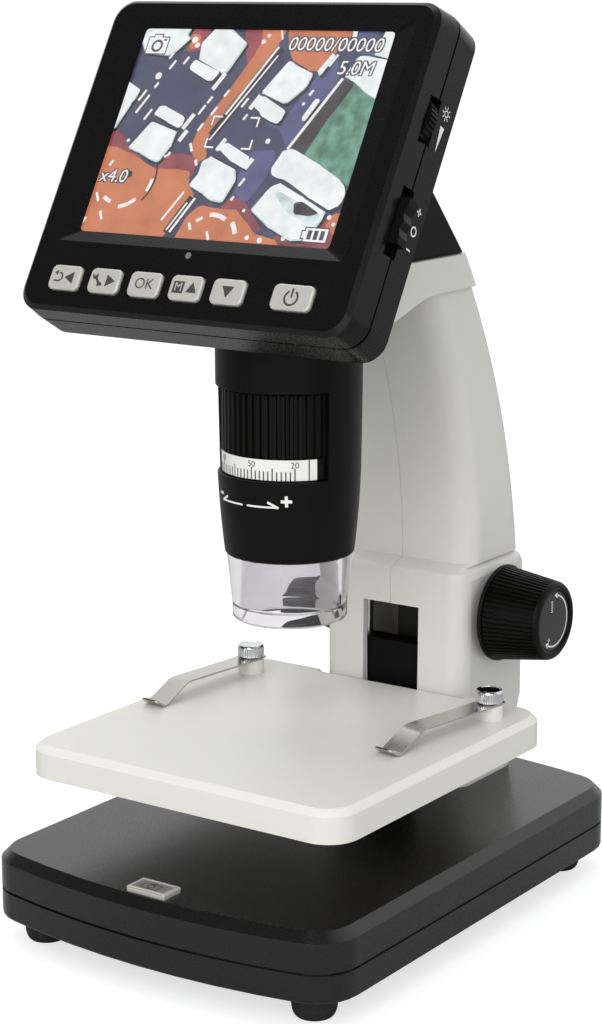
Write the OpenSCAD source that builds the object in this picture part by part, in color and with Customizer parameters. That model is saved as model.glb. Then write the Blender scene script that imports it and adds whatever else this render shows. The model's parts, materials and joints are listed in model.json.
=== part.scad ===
// Digital microscope: a weighted base, a hollow column with a rack-driven stage, and a leaning arm
// that carries a tilted monitor head above a tube with a zoom ring and a clear nosepiece.
// Millimetres, +Z up, front towards -Y, origin on the ground under the middle of the base.

/* [Base] */
// Outer width of the base
base_w = 102.6; // [94:0.2:116]
// Overall depth of the base, over both bowed ends
base_d = 143; // [132:0.5:156]
// How far the front and rear edges bow out
base_bow = 6.5; // [4:0.5:10]
// Corner radius of the base outline
base_corner_r = 11; // [6:0.5:13]
// Height of the two base shells without the feet
base_h = 16.8; // [16:0.1:24]
// Height of the lower base shell, up to the seam
base_seam_h = 7.5; // [5:0.1:9]
// Bevel round the top edge of the base
base_bevel = 2.3; // [1:0.1:4]
// Wall of the base shells
base_wall = 2.2; // [1.6:0.1:2.6]
// Height of the rubber feet
foot_h = 6.7; // [3:0.1:10]
// Radius of the rubber feet
foot_r = 5.4; // [4:0.1:6.5]
// Foot centres from the middle, across
foot_x = 40; // [34:0.5:43]
// Foot centres from the middle, front to back
foot_y = 57; // [46:0.5:58]

/* [Snap button] */
// Width of the snap button
snap_w = 11.2; // [9:0.1:16]
// Depth of the snap button, front to back
snap_d = 6.6; // [6:0.1:10]
// How far the snap button stands out of the base
snap_proud = 1.2; // [1:0.1:2]
// Travel of the snap button
snap_travel = 0.8; // [0.4:0.1:1]

/* [Column] */
// Width of the column box
col_w = 43.4; // [40:0.2:50]
// Depth of the column box
col_d = 34.7; // [32:0.1:38]
// Height of the column box above the base
col_h = 58; // [55:0.5:64]
// Distance of the column's back from the rear end of the base
col_setback = 1; // [0.5:0.1:4]
// Upright corner radius of the column box
col_corner_r = 5; // [3:0.5:7]
// Soft edge round the shoulder of the column box
col_soft = 2.6; // [1:0.1:3]
// How far the rear foot of the column tucks in
col_tuck = 5.6; // [3:0.1:7]
// Height of that tuck
col_tuck_h = 19; // [12:0.5:26]
// Wall of the column and arm
col_wall = 2.2; // [1.6:0.1:2.6]
// Width of the front slot
slot_w = 17.1; // [14:0.1:20]
// Top of the front slot above the base
slot_top = 47.4; // [46:0.1:50]
// Bottom of the front slot above the base
slot_low = 6; // [3:0.5:7]

/* [Arm] */
// Width of the arm where it leaves the column
arm_w = 41.2; // [38:0.2:42]
// How much each side of the arm draws in up to its top
arm_draw = 1; // [0:0.1:2]
// Step from the column's front to the arm's front
arm_step = 5.9; // [4:0.1:7]
// Radius of the arm's front curve
arm_front_r = 155; // [120:1:160]
// Radius of the arm's rear curve
arm_rear_r = 180; // [165:1:210]
// Angle of the arm's back where it leaves the column
arm_rear_slope = 5.5; // [5:0.5:10]
// Top of the collar above the base
head_up = 140; // [134:0.5:148]
// Height of the collar at its rear edge
collar_h = 8.6; // [6:0.1:10]
// Further drop of the collar round the tube
collar_drop = 5.4; // [3:0.1:8]

/* [Tube] */
// Distance of the tube's axis in front of the column
tube_reach = 45.4; // [42:0.1:47]
// Largest radius of the tube
tube_r = 17.8; // [16.8:0.1:18.6]
// Radius at the lower end of the barrel
barrel_end_r = 15.8; // [15.4:0.1:16.4]
// Lower end of the barrel above the base
barrel_low = 70.6; // [67:0.1:73]
// Lower edge of the ring window above the base
ring_low = 90.9; // [88:0.1:93]
// Height of the ring window
ring_h = 21.1; // [18:0.1:24]
// Opening angle of the ring window
ring_window = 135; // [110:1:150]
// Outer radius of the zoom ring
ring_r = 16.4; // [15.8:0.05:16.5]
// Ribs round the zoom ring
ring_ribs = 50; // [36:1:60]
// Height of the scale band
band_h = 5; // [4:0.1:7]
// Height of the clear nosepiece below the barrel
nose_h = 16.5; // [12:0.1:18]
// Outer radius of the nosepiece at its tip
nose_r = 14.1; // [13.6:0.1:15]
// Wall of the nosepiece
nose_wall = 2; // [1.5:0.1:2.4]

/* [Stage] */
// Width of the stage plate
stage_w = 93; // [86:0.5:98]
// Depth of the stage plate
stage_d = 95.5; // [88:0.5:98]
// Thickness of the stage plate
stage_t = 8; // [7:0.1:9]
// Corner radius of the stage plate
stage_corner_r = 8; // [5:0.5:11]
// Height of the stage's underside above the base
stage_gap = 17.5; // [16:0.1:19]
// Wall of the stage plate
stage_wall = 2.5; // [2:0.1:3]
// Clip posts from the middle
clip_x = 37; // [33:0.5:39]
// Clip posts in front of the stage's rear edge
clip_back = 13.8; // [11:0.1:17]
// Height of the clip posts
post_h = 3.6; // [2.5:0.1:4]
// Radius of the clip posts and their caps
post_r = 3.5; // [3:0.1:4]
// Width of the clip strips
clip_w = 7; // [5:0.1:8]
// Thickness of the clip strips
clip_t = 0.5; // [0.4:0.05:0.8]
// Flat length of a clip, from the post to the bend
clip_flat = 30; // [24:0.5:33]
// Length of the sloping end of a clip
clip_slope = 8.5; // [6:0.5:11]

/* [Focus drive] */
// Distance of the focus shaft behind the column's front
shaft_back = 15.8; // [15:0.1:17]
// Height of the focus shaft above the base
shaft_up = 45.1; // [43:0.1:47]
// Radius of the focus shaft
shaft_r = 2.5; // [2:0.1:2.8]
// Tooth module of the rack and pinion
gear_m = 0.8; // [0.7:0.05:0.85]
// Teeth on the pinion
pinion_teeth = 12; // [11:1:13]
// Radius of a knob at its inner end
knob_r = 12.7; // [10:0.1:14]
// Radius of a knob at its outer end
knob_end_r = 10.4; // [9:0.1:12]
// Length of a knob
knob_l = 16.3; // [13:0.1:20]
// Ribs round a knob
knob_ribs = 38; // [28:1:44]
// Stage travel upwards from the stored height
lift_up = 18; // [14:0.5:19]
// Stage travel downwards from the stored height
lift_down = 10; // [6:0.5:11]

/* [Monitor] */
// Width of the monitor
mon_w = 95.2; // [92:0.2:104]
// Height of the monitor
mon_h = 81.5; // [76:0.5:84]
// Thickness of the monitor
mon_t = 16.2; // [15.6:0.1:19]
// Corner radius of the monitor
mon_corner_r = 5.5; // [4:0.5:9]
// Thickness of the front shell, up to the seam
mon_front_t = 7; // [6.4:0.1:7.4]
// Wall of the monitor shells
mon_wall = 2; // [1.6:0.1:2.2]
// Bevel round the front and rear edges of the monitor
mon_bevel = 1; // [0.8:0.1:3.4]
// Lean of the screen back from upright
mon_tilt = 30; // [26:0.5:34]
// Width of the screen opening
screen_w = 70.6; // [66:0.2:72]
// Height of the screen opening
screen_h = 53; // [49:0.2:54]
// Monitor edge above the screen opening
screen_margin = 8; // [5.5:0.1:9]
// Middle of the screen in front of the tube's axis
screen_fwd = 21.2; // [20:0.1:23]
// Middle of the screen above the collar
screen_up = 32.5; // [31:0.1:35]
// Key row below the middle of the screen
key_drop = 39; // [38.5:0.1:40.5]
// Width of a small key
key_w = 9; // [7:0.1:9.6]
// Height of a small key
key_h = 6.2; // [5:0.1:6.4]
// Spacing of the small keys
key_pitch = 11.75; // [11.6:0.05:12]
// Middle of the first small key
key_start = -33.8; // [-35:0.1:-33]
// Middle of the power key
power_x = 30.6; // [29:0.1:31.5]
// Width of the power key
power_w = 10.8; // [9:0.1:12]
// Travel of the keys
key_travel = 0.4; // [0.2:0.05:0.6]

/* [Side controls] */
// Length of the brightness wheel's slot
wheel_slot = 11.1; // [11:0.1:14]
// Middle of the wheel above the middle of the screen
wheel_up = 7.75; // [5:0.25:10]
// Radius of the brightness wheel
wheel_r = 6.4; // [6:0.1:6.9]
// Length of the zoom lever's slot
lever_slot = 16.4; // [14:0.1:17]
// Middle of the zoom lever below the middle of the screen
lever_drop = 17; // [15:0.25:19]
// Travel of the zoom lever each way
lever_travel = 2.5; // [1:0.1:2.8]

/* [Clearances] */
// Gap between fixed pieces that slip together
fit = 0.15; // [0.05:0.05:0.3]
// Running clearance of shafts and pins
run = 0.05; // [0.02:0.01:0.1]
// Gap between moving pieces and their openings
gap = 0.3; // [0.2:0.05:0.4]

/* [Hidden] */
$fn = 64;
eps = 0.01;
over = 1;

// Heights
z_bottom = foot_h;
z_seam = foot_h + base_seam_h;
z_deck = foot_h + base_h;
z_shoulder = z_deck + col_h;
z_collar = z_deck + head_up;
collar_roof = 2.2;
z_roof = z_collar - collar_roof;
z_collar_low = z_collar - collar_h;
z_collar_front = z_collar_low - collar_drop;
z_stage = z_deck + stage_gap;
z_plate = z_stage + stage_t;
z_barrel = z_deck + barrel_low;
z_ring = z_deck + ring_low;
z_ring_top = z_ring + ring_h;
z_nose = z_barrel - nose_h;

// Places in plan
col_rear_y = base_d / 2 - col_setback;
col_front_y = col_rear_y - col_d;
tube_y = col_front_y - tube_reach;
shaft_y = col_front_y + shaft_back;
shaft_z = z_deck + shaft_up;

// Screws: shank radius, head radius and head height
screw_r = 1.25;
screw_head_r = 2.4;
screw_head_h = 1.4;
boss_r = 3.2;

// Base shells
base_floor = 2;
seam_groove = 0.6;
base_lip = 0.6;
z_floor = z_bottom + base_floor;
z_ceiling = z_deck - base_wall;
base_boss_in = 2;
base_boss_ahead = 15;
base_boss = [foot_x - base_boss_in, foot_y - base_boss_ahead];
base_pad_h = 2;
bow_r = (base_w * base_w / 4 + base_bow * base_bow) / (2 * base_bow);
cable_r = 1.5;
cable_hole_r = 3;

// Route of the cable bundle from the battery up the column to the main board,
// as [back from the column's front, up from the base]
route = [[18, -10.5], [21, -10.5], [22.8, -8], [23.2, -3.5], [23.2, 3.5], [25.2, 14.5], [26.2, 26.5],
    [26.2, 36.5], [26.2, 46.5], [25.7, 56.5], [23.7, 68.5], [20.7, 80.5], [16.2, 92.5], [10.7, 103.5],
    [4.7, 114.5], [-1.8, 124.5], [-6.3, 132.5], [-8.3, 139.5], [-10.3, 145.5], [-17.3, 151],
    [-27.3, 154], [-38.3, 155], [-47.3, 156], [-54.7, 158.7], [-59.9, 161.7]];
harness = [for (p = route) [col_front_y + p[0], z_deck + p[1]]];
deck_hole_y = harness[3][0];
roof_hole_y = harness[17][0];
col_boss_back = 12.7;
col_boss_pitch = 10;
col_boss_sink = 0.7;
col_boss = [col_w / 2 - col_wall - boss_r + col_boss_sink, col_front_y + col_boss_back,
    col_front_y + col_boss_back + col_boss_pitch];
col_boss_h = 10;

// Points along an arc, without the first and last few
function arc_pts(c, r, a0, a1, n, skip = 0) =
    [for (i = [skip:n - skip]) let (a = a0 + (a1 - a0) * i / n) c + r * [cos(a), sin(a)]];

// Outline of the base, drawn in by inset: straight sides, round corners, bowed ends
function base_outline(inset) =
    let (hw = base_w / 2 - inset, r = base_corner_r - inset, R = bow_r - inset,
        cy = R - base_d / 2 + inset,
        yc = cy - sqrt(pow(R - r, 2) - pow(hw - r, 2)),
        a = atan2(yc - cy, hw - r))
    concat(arc_pts([hw - r, yc], r, a, 0, 6), arc_pts([hw - r, -yc], r, 0, -a, 6),
        arc_pts([0, -cy], R, -a, 180 + a, 8, 1),
        arc_pts([r - hw, -yc], r, 180 + a, 180, 6), arc_pts([r - hw, yc], r, 180, 180 - a, 6),
        arc_pts([0, cy], R, 180 - a, 360 + a, 8, 1));

module slab(points, z0, z1) {
    translate([0, 0, z0]) linear_extrude(z1 - z0) polygon(points);
}

module at_corners(x, y) {
    for (sx = [-1, 1], sy = [-1, 1]) translate([sx * x, sy * y, 0]) children();
}

module both_sides() {
    children();
    mirror([1, 0, 0]) children();
}

// A screw that points along +Z with its head's top at the origin
module screw(shank) {
    cylinder(r = screw_head_r, h = screw_head_h);
    translate([0, 0, screw_head_h - eps]) cylinder(r = screw_r, h = shank + eps);
}

module tube(r_out, r_in, h) {
    difference() {
        cylinder(r = r_out, h = h);
        translate([0, 0, -over]) cylinder(r = r_in, h = h + 2 * over);
    }
}

// Profile in the YZ plane, extruded to half width hw on each side
module side_prism(points, hw) {
    rotate([90, 0, 90]) linear_extrude(2 * hw, center = true) polygon(points);
}

// Base

snap_edge = 1;
snap_front = -base_d / 2 + base_bevel + snap_edge;
snap_mid = snap_front + snap_d / 2;
snap_t = 2.4;
snap_flange = 1;
snap_flange_t = 1.1;
snap_foot_back = 1.5;
z_snap = z_deck + snap_proud;
z_snap_flange = z_ceiling - snap_flange_t - 0.1;
snap_stem = 0.8;
snap_stem_back = 0.5;
switch_h = 3;
board_t = 1.2;
z_shutter = z_snap_flange - snap_stem - snap_travel - run - switch_h;
switch_w = 6;
shutter_post_r = 1.8;
shutter_edge = 2;
shutter_post_x = snap_w / 2 + snap_flange + shutter_edge;
shutter_post_y = snap_front + snap_d + snap_foot_back;

module base_top_shell() {
    color("#2b2b2d") {
        difference() {
            hull() {
                slab(base_outline(0), z_seam, z_deck - base_bevel);
                slab(base_outline(base_bevel), z_deck - eps, z_deck);
            }
            slab(base_outline(base_wall), z_seam - over, z_ceiling);
            translate([-snap_w / 2 - gap, snap_front - gap, z_ceiling - over])
                cube([snap_w + 2 * gap, snap_d + 2 * gap, base_wall + 2 * over]);
            translate([0, deck_hole_y, z_ceiling - over])
                cylinder(r = cable_hole_r, h = base_wall + 2 * over);
            for (y = [col_boss[1], col_boss[2]]) both_sides()
                translate([col_boss[0], y, z_ceiling - over])
                    cylinder(r = screw_r, h = base_wall + 2 * over);
        }
        at_corners(base_boss[0], base_boss[1])
            translate([0, 0, z_floor + base_pad_h])
                tube(boss_r, screw_r, z_ceiling - z_floor - base_pad_h + eps);
        both_sides() translate([shutter_post_x, shutter_post_y, z_shutter])
            cylinder(r = shutter_post_r, h = z_ceiling - z_shutter + eps);
    }
}

module base_bottom_shell() {
    pad_r = boss_r + 1;
    color("#2b2b2d") difference() {
        union() {
            difference() {
                union() {
                    hull() {
                        slab(base_outline(base_lip), z_bottom, z_bottom + eps);
                        slab(base_outline(0), z_bottom + base_lip, z_seam - seam_groove);
                    }
                    slab(base_outline(seam_groove), z_seam - seam_groove - eps, z_seam);
                }
                slab(base_outline(base_wall + seam_groove), z_floor, z_seam + over);
            }
            at_corners(base_boss[0], base_boss[1])
                translate([0, 0, z_floor - eps]) cylinder(r = pad_r, h = base_pad_h + eps);
        }
        at_corners(base_boss[0], base_boss[1]) translate([0, 0, z_bottom - over]) {
            cylinder(r = screw_head_r, h = screw_head_h + over);
            cylinder(r = screw_r, h = base_floor + base_pad_h + 2 * over);
        }
    }
}

module rubber_feet() {
    flat_r = foot_r * 0.72;
    round_h = foot_h * 0.5;
    color("#141414") at_corners(foot_x, foot_y) rotate_extrude()
        polygon(concat([[0, 0], [flat_r, 0]],
            [for (i = [1:5]) let (a = 90 * i / 5)
                [flat_r + (foot_r - flat_r) * sin(a), round_h * (1 - cos(a))]],
            [[foot_r, foot_h], [0, foot_h]]));
}

module base_screws() {
    color("#8d9094") at_corners(base_boss[0], base_boss[1])
        translate([0, 0, z_bottom]) screw(z_ceiling - z_bottom - screw_head_h - 3);
}

module ballast_plate() {
    ballast_w = 64;
    ballast_d = 62;
    ballast_t = 3;
    color("#6b6e72") translate([-ballast_w / 2, -base_boss[1], z_floor])
        cube([ballast_w, ballast_d, ballast_t]);
}

battery = [46, 24, 7];
battery_y = harness[0][0] - battery[1];

module battery_pack() {
    color("#3f6fae") translate([-battery[0] / 2, battery_y, z_floor]) cube(battery);
}

module snap_button() {
    flange_d = snap_d - snap_foot_back;
    color("#b9bbbc") {
        translate([-snap_w / 2, snap_front, z_snap - snap_t]) cube([snap_w, snap_d, snap_t]);
        translate([-snap_w / 2, snap_front + snap_foot_back, z_snap_flange])
            cube([snap_w, flange_d, z_snap - snap_t - z_snap_flange + eps]);
        translate([-snap_w / 2 - snap_flange, snap_front + snap_foot_back, z_snap_flange])
            cube([snap_w + 2 * snap_flange, flange_d, snap_flange_t]);
        translate([0, snap_mid + snap_stem_back, z_snap_flange - snap_stem])
            cylinder(r = 1.5, h = snap_stem + eps);
    }
}

module shutter_board() {
    half = shutter_post_x + shutter_edge;
    color("#2f6b46") translate([-half, snap_front + shutter_edge, z_shutter - board_t])
        cube([2 * half, shutter_post_y - snap_front, board_t]);
    color("#2f6b46") translate([-switch_w / 2, snap_mid + snap_stem_back - switch_w / 2, z_shutter - eps])
        cube([switch_w, switch_w, switch_h + eps]);
}

// Column and arm

arm_z0 = z_shoulder + 0.8;
arm_z1 = z_roof;
arm_corner = [8, 6, 6];
arm_levels = 12;
corner_steps = 4;
slot_z0 = z_deck + slot_low;
slot_z1 = z_deck + slot_top;
bush_r = shaft_r + 1.7;
bush_flange_r = bush_r + 1.3;
bush_flange_t = 1.2;

function lean(z, r, a0) = r * (cos(a0) - cos(asin(sin(a0) + (max(z, arm_z0) - arm_z0) / r)));
function arm_front(z) = col_front_y + arm_step - lean(z, arm_front_r, 0);
function arm_rear(z) = col_rear_y - 0.8 - lean(z, arm_rear_r, arm_rear_slope);
function arm_half(z) = arm_w / 2 - arm_draw * max(0, (z - arm_z0) / (arm_z1 - arm_z0));

// Right half of a cross-section at height z, from the front middle round to the rear middle
function half_ring(z, hw, yf, yr, ca, cb, rr, x0) = concat([[x0, yf, z]],
    [for (i = [0:corner_steps]) let (a = 90 * i / corner_steps)
        [hw - ca + ca * sin(a), yf + cb * (1 - cos(a)), z]],
    [for (i = [0:corner_steps]) let (a = 90 * i / corner_steps)
        [hw - rr + rr * cos(a), yr - rr + rr * sin(a), z]],
    [[x0, yr, z]]);

function box_ring(z, inset, tuck, x0) = let (r = max(col_corner_r - inset, 0.8))
    half_ring(z, col_w / 2 - inset, col_front_y + inset, col_rear_y - tuck - inset, r, r, r, x0);

function arm_ring(z, inset, x0) = half_ring(z, arm_half(z) - inset, arm_front(z) + inset,
    arm_rear(z) - inset, arm_corner[0] - inset, arm_corner[1] - inset, arm_corner[2] - inset, x0);

module loft(rings) {
    n = len(rings[0]);
    m = len(rings);
    polyhedron([for (ring = rings) each ring],
        concat([[for (i = [0:n - 1]) i]],
            [for (k = [0:m - 2], i = [0:n - 1])
                [k * n + i, (k + 1) * n + i, (k + 1) * n + (i + 1) % n]],
            [for (k = [0:m - 2], i = [0:n - 1])
                [k * n + i, (k + 1) * n + (i + 1) % n, k * n + (i + 1) % n]],
            [[for (i = [n - 1:-1:0]) (m - 1) * n + i]]), convexity = 6);
}

module column_half() {
    z_in = z_shoulder - col_wall;
    difference() {
        loft(concat([box_ring(z_deck, 0, col_tuck, 0),
            box_ring(z_deck + col_tuck_h * 0.85, 0, col_tuck * 0.2, 0),
            box_ring(z_deck + col_tuck_h, 0, 0, 0),
            box_ring(z_shoulder - col_soft, 0, 0, 0),
            box_ring(z_shoulder - col_soft * 0.3, col_soft * 0.25, 0, 0),
            box_ring(z_shoulder, col_soft * 0.9, 0, 0)],
            [for (i = [0:arm_levels])
                arm_ring(arm_z0 + (arm_z1 - arm_z0) * i / arm_levels, 0, 0)]));
        loft(concat([box_ring(z_deck - over, col_wall, col_tuck, -over),
            box_ring(z_deck, col_wall, col_tuck, -over),
            box_ring(z_deck + col_tuck_h, col_wall, 0, -over),
            box_ring(z_in, col_wall, 0, -over)],
            [for (i = [0:arm_levels])
                arm_ring(z_in + 1 + (arm_z1 + over - z_in - 1) * i / arm_levels, col_wall, -over)]));
        translate([-over, col_front_y - over, slot_z0])
            cube([slot_w / 2 + over, col_wall + 2 * over, slot_z1 - slot_z0]);
        translate([col_w / 2 - col_wall - over, shaft_y, shaft_z])
            rotate([0, 90, 0]) cylinder(r = bush_r, h = col_wall + 2 * over);
    }
    for (y = [col_boss[1], col_boss[2]])
        translate([col_boss[0], y, z_deck]) tube(boss_r, screw_r, col_boss_h);
}

module column_right_shell() {
    color("#e4e2da") column_half();
}

module column_left_shell() {
    color("#e4e2da") mirror([1, 0, 0]) column_half();
}

module column_screws() {
    color("#8d9094") for (y = [col_boss[1], col_boss[2]]) both_sides()
        translate([col_boss[0], y, z_ceiling - screw_head_h]) screw(base_wall + col_boss_h - 1);
}

rod_r = 1.5;
rod_x = slot_w / 2 + rod_r + 0.6;
carriage_front = col_front_y + col_wall + gap;
carriage_d = 6;
rod_y = carriage_front + carriage_d / 2;

module guide_rods() {
    color("#a9adb0") both_sides() translate([rod_x, rod_y, z_deck])
        cylinder(r = rod_r, h = col_h - col_wall);
}

module shaft_bushes() {
    wall_in = col_w / 2 - col_wall;
    color("#b08d57") both_sides() translate([wall_in - bush_flange_t, shaft_y, shaft_z])
        rotate([0, 90, 0]) difference() {
            union() {
                cylinder(r = bush_flange_r, h = bush_flange_t);
                cylinder(r = bush_r, h = bush_flange_t + col_wall);
            }
            translate([0, 0, -over]) cylinder(r = shaft_r + run, h = col_wall + bush_flange_t + 2 * over);
        }
}

collar_wall = 1;
collar_side = 1.2;
collar_half = max(arm_half(z_collar_low) + fit + collar_side, tube_r + collar_side);
collar_corner_r = arm_corner[2] + fit + collar_wall;
collar_lead = 0.8;
collar_nose = 8;
collar_bend = [arm_front(z_collar_low) + collar_lead, tube_y + collar_nose];
collar_steps = 24;
collar_screw_x = 12;
collar_screw_in = col_wall + 4;
head_step = 4;
collar_screw_y = [arm_front(arm_z1) + collar_screw_in, arm_rear(arm_z1) - collar_screw_in - head_step];

function collar_rear(z) = arm_rear(z) + fit + collar_wall;

// A right half outline joined to its mirror image, without the points on the middle line
function whole(ring) = let (last = len(ring) - 2) concat([for (i = [1:last]) ring[i]],
    [for (i = [last:-1:1]) [-ring[i][0], ring[i][1], ring[i][2]]]);

// Right half of the collar's outline at height z: round the tube in front, with round corners behind
function collar_ring(z) = concat(
    [for (i = [0:collar_steps]) let (a = 90 * i / collar_steps)
        [collar_half * sin(a), tube_y - collar_half * cos(a), z]],
    [for (i = [0:corner_steps]) let (a = 90 * i / corner_steps)
        [collar_half - collar_corner_r * (1 - cos(a)),
            collar_rear(z) - collar_corner_r * (1 - sin(a)), z]],
    [[0, collar_rear(z), z]]);

module arm_collar() {
    front = tube_y - collar_half - over;
    back = collar_rear(z_collar_front - over) + over;
    z_mid = z_collar_low + over;
    s_curve = [for (i = [0:8]) let (t = i / 8)
        [collar_bend[0] + (collar_bend[1] - collar_bend[0]) * t,
            z_collar_low - collar_drop * (1 - cos(180 * t)) / 2]];
    color("#e4e2da") difference() {
        intersection() {
            loft([for (z = [z_collar_front - over, z_mid, z_collar + over]) whole(collar_ring(z))]);
            side_prism(concat([[back, z_collar], [back, z_collar_low]], s_curve,
                [[front, z_collar_front], [front, z_collar]]), collar_half + over);
        }
        translate([0, tube_y, z_collar_front - over])
            cylinder(r = tube_r, h = z_roof - z_collar_front + over);
        loft([for (z = [z_collar_front - over, z_mid, z_roof]) whole(arm_ring(z, -fit, 0))]);
        translate([0, roof_hole_y, z_roof - over])
            cylinder(r = cable_hole_r, h = collar_roof + 2 * over);
        for (y = collar_screw_y) both_sides() translate([collar_screw_x, y, z_roof - over])
            cylinder(r = screw_r, h = collar_roof + 2 * over);
    }
}

head_wall = 2;

module collar_screws() {
    color("#8d9094") for (y = collar_screw_y) both_sides()
        translate([collar_screw_x, y, z_roof - screw_head_h]) screw(collar_roof + head_wall);
}

module wire_harness() {
    n = len(harness);
    sides = 8;
    color("#c9a227") loft([for (i = [0:n - 1])
        let (a = harness[max(i - 1, 0)], b = harness[min(i + 1, n - 1)], d = (b - a) / norm(b - a))
        [for (k = [0:sides - 1]) let (t = -360 * k / sides)
            [cable_r * cos(t), harness[i][0] - d[1] * cable_r * sin(t),
                harness[i][1] + d[0] * cable_r * sin(t)]]]);
}

// Focus drive and stage

pinion_r = gear_m * pinion_teeth / 2;
pinion_w = 8;
tooth_play = 0.14;
addendum = 0.85 * gear_m;
dedendum = 1.2 * gear_m;
rack_y = shaft_y - pinion_r;
rack_w = 6;
knob_gap = 2.6;
knob_in = col_w / 2 + knob_gap;
knob_out = knob_in + knob_l;
cap_r = knob_end_r - 2.4;
cap_t = 1.2;
cap_sink = 0.5;

module focus_shaft() {
    reach = knob_out - cap_t - cap_sink - 1;
    color("#a9adb0") translate([-reach, shaft_y, shaft_z]) rotate([0, 90, 0])
        cylinder(r = shaft_r, h = 2 * reach);
}

module pinion_gear() {
    half_pitch = gear_m * PI / 4 - tooth_play;
    tip = half_pitch - addendum * tan(20);
    root = half_pitch + dedendum * tan(16);
    color("#b08d57") translate([-pinion_w / 2, shaft_y, shaft_z]) rotate([0, 90, 0]) difference() {
        linear_extrude(pinion_w) polygon([for (i = [0:pinion_teeth - 1])
            let (a = 360 * i / pinion_teeth - 90, u = [cos(a), sin(a)], v = [-sin(a), cos(a)])
            each [(pinion_r - dedendum) * u - root * v, (pinion_r + addendum) * u - tip * v,
                (pinion_r + addendum) * u + tip * v, (pinion_r - dedendum) * u + root * v]]);
        translate([0, 0, -over]) cylinder(r = shaft_r, h = pinion_w + 2 * over);
    }
}

// Ribbed round outline of n ribs between radii low and high
function ribbed(n, low, high) = [for (i = [0:n - 1]) let (a = 360 / n)
    each [high * [cos(a * (i - 0.28)), sin(a * (i - 0.28))],
        high * [cos(a * (i + 0.28)), sin(a * (i + 0.28))],
        low * [cos(a * (i + 0.4)), sin(a * (i + 0.4))], low * [cos(a * (i + 0.6)), sin(a * (i + 0.6))]]];

module knob_shape() {
    rib = 0.5;
    flange_t = 1.1;
    color("#1a1a1b") translate([knob_in, shaft_y, shaft_z]) rotate([0, 90, 0]) difference() {
        union() {
            cylinder(r = knob_r, h = flange_t);
            linear_extrude(knob_l, scale = knob_end_r / knob_r)
                polygon(ribbed(knob_ribs, knob_r - 2 * rib, knob_r - rib));
        }
        translate([0, 0, knob_l - cap_t - cap_sink]) cylinder(r = cap_r, h = cap_t + cap_sink + over);
        translate([0, 0, -over]) cylinder(r = shaft_r, h = knob_l - cap_t - cap_sink - 1 + over);
    }
}

module knob_right() {
    knob_shape();
}

module knob_left() {
    mirror([1, 0, 0]) knob_shape();
}

module knob_cap_shape() {
    color("#303033") translate([knob_out - cap_t - cap_sink, shaft_y, shaft_z]) rotate([0, 90, 0])
        cylinder(r = cap_r, h = cap_t);
}

module knob_cap_right() {
    knob_cap_shape();
}

module knob_cap_left() {
    mirror([1, 0, 0]) knob_cap_shape();
}

stage_clear = 1;
notch_d = 3.5;
notch_clear = 1.3;
notch_half = col_w / 2 + notch_clear;
stage_notch_y = col_front_y - stage_clear;
stage_rear_y = stage_notch_y + notch_d;
stage_mid_y = stage_rear_y - stage_d / 2;
clip_y = stage_rear_y - clip_back;
tongue_half = slot_w / 2 - 0.5;
tongue_t = 4.5;
tongue_reach = 10;
z_tongue = z_plate - stage_wall - tongue_t;
carriage_half = rod_x + rod_r + 2;
carriage_low = z_stage - 5;
carriage_h = 24;
rack_margin = 4.5;
rack_z0 = shaft_z - lift_up - rack_margin;
rack_z1 = shaft_z + lift_down + rack_margin;
pin_r = 1.5;
stage_screw_x = tongue_half - 3.5;
stage_screw_y = stage_notch_y - tongue_reach / 2;

// Rounded rectangle about the origin
module round_rect(w, h, r) {
    square([w - 2 * r, h], center = true);
    square([w, h - 2 * r], center = true);
    for (sx = [-1, 1], sy = [-1, 1]) translate([sx * (w / 2 - r), sy * (h / 2 - r)]) circle(r);
}

module stage_plate() {
    rim = stage_wall;
    soft = 1.6;
    pocket_d = stage_d - clip_back - tongue_reach - 2 * rim;
    color("#e9e7df") difference() {
        union() {
            hull() {
                translate([0, stage_mid_y, z_stage]) linear_extrude(stage_t - soft)
                    round_rect(stage_w, stage_d, stage_corner_r, $fn = 32);
                translate([0, stage_mid_y, z_plate - eps]) linear_extrude(eps)
                    round_rect(stage_w - 2 * soft, stage_d - 2 * soft, stage_corner_r - soft, $fn = 32);
            }
            both_sides() translate([clip_x, clip_y, z_plate - eps]) cylinder(r = post_r, h = post_h + eps);
        }
        translate([-notch_half, stage_notch_y, z_stage - over])
            cube([2 * notch_half, notch_d + over, stage_t + 2 * over]);
        translate([-notch_half + rim, stage_notch_y - tongue_reach - rim, z_stage - over])
            cube([2 * (notch_half - rim), tongue_reach, stage_t - stage_wall + over]);
        translate([-tongue_half - fit, stage_notch_y - rim - over, z_stage - over])
            cube([2 * (tongue_half + fit), rim + 2 * over, stage_t - stage_wall + over]);
        translate([0, stage_mid_y, z_stage - over])
            linear_extrude(stage_t - stage_wall + over) intersection() {
            round_rect(stage_w - 2 * rim, stage_d - 2 * rim, stage_corner_r - rim);
            both_sides() translate([rim / 2, -stage_d / 2]) square([stage_w / 2, pocket_d]);
        }
        both_sides() translate([clip_x, clip_y, z_stage + stage_wall])
            cylinder(r = pin_r, h = stage_t + post_h);
        both_sides() translate([stage_screw_x, stage_screw_y, z_stage])
            cylinder(r = screw_r, h = stage_t - 0.8);
    }
}

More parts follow.
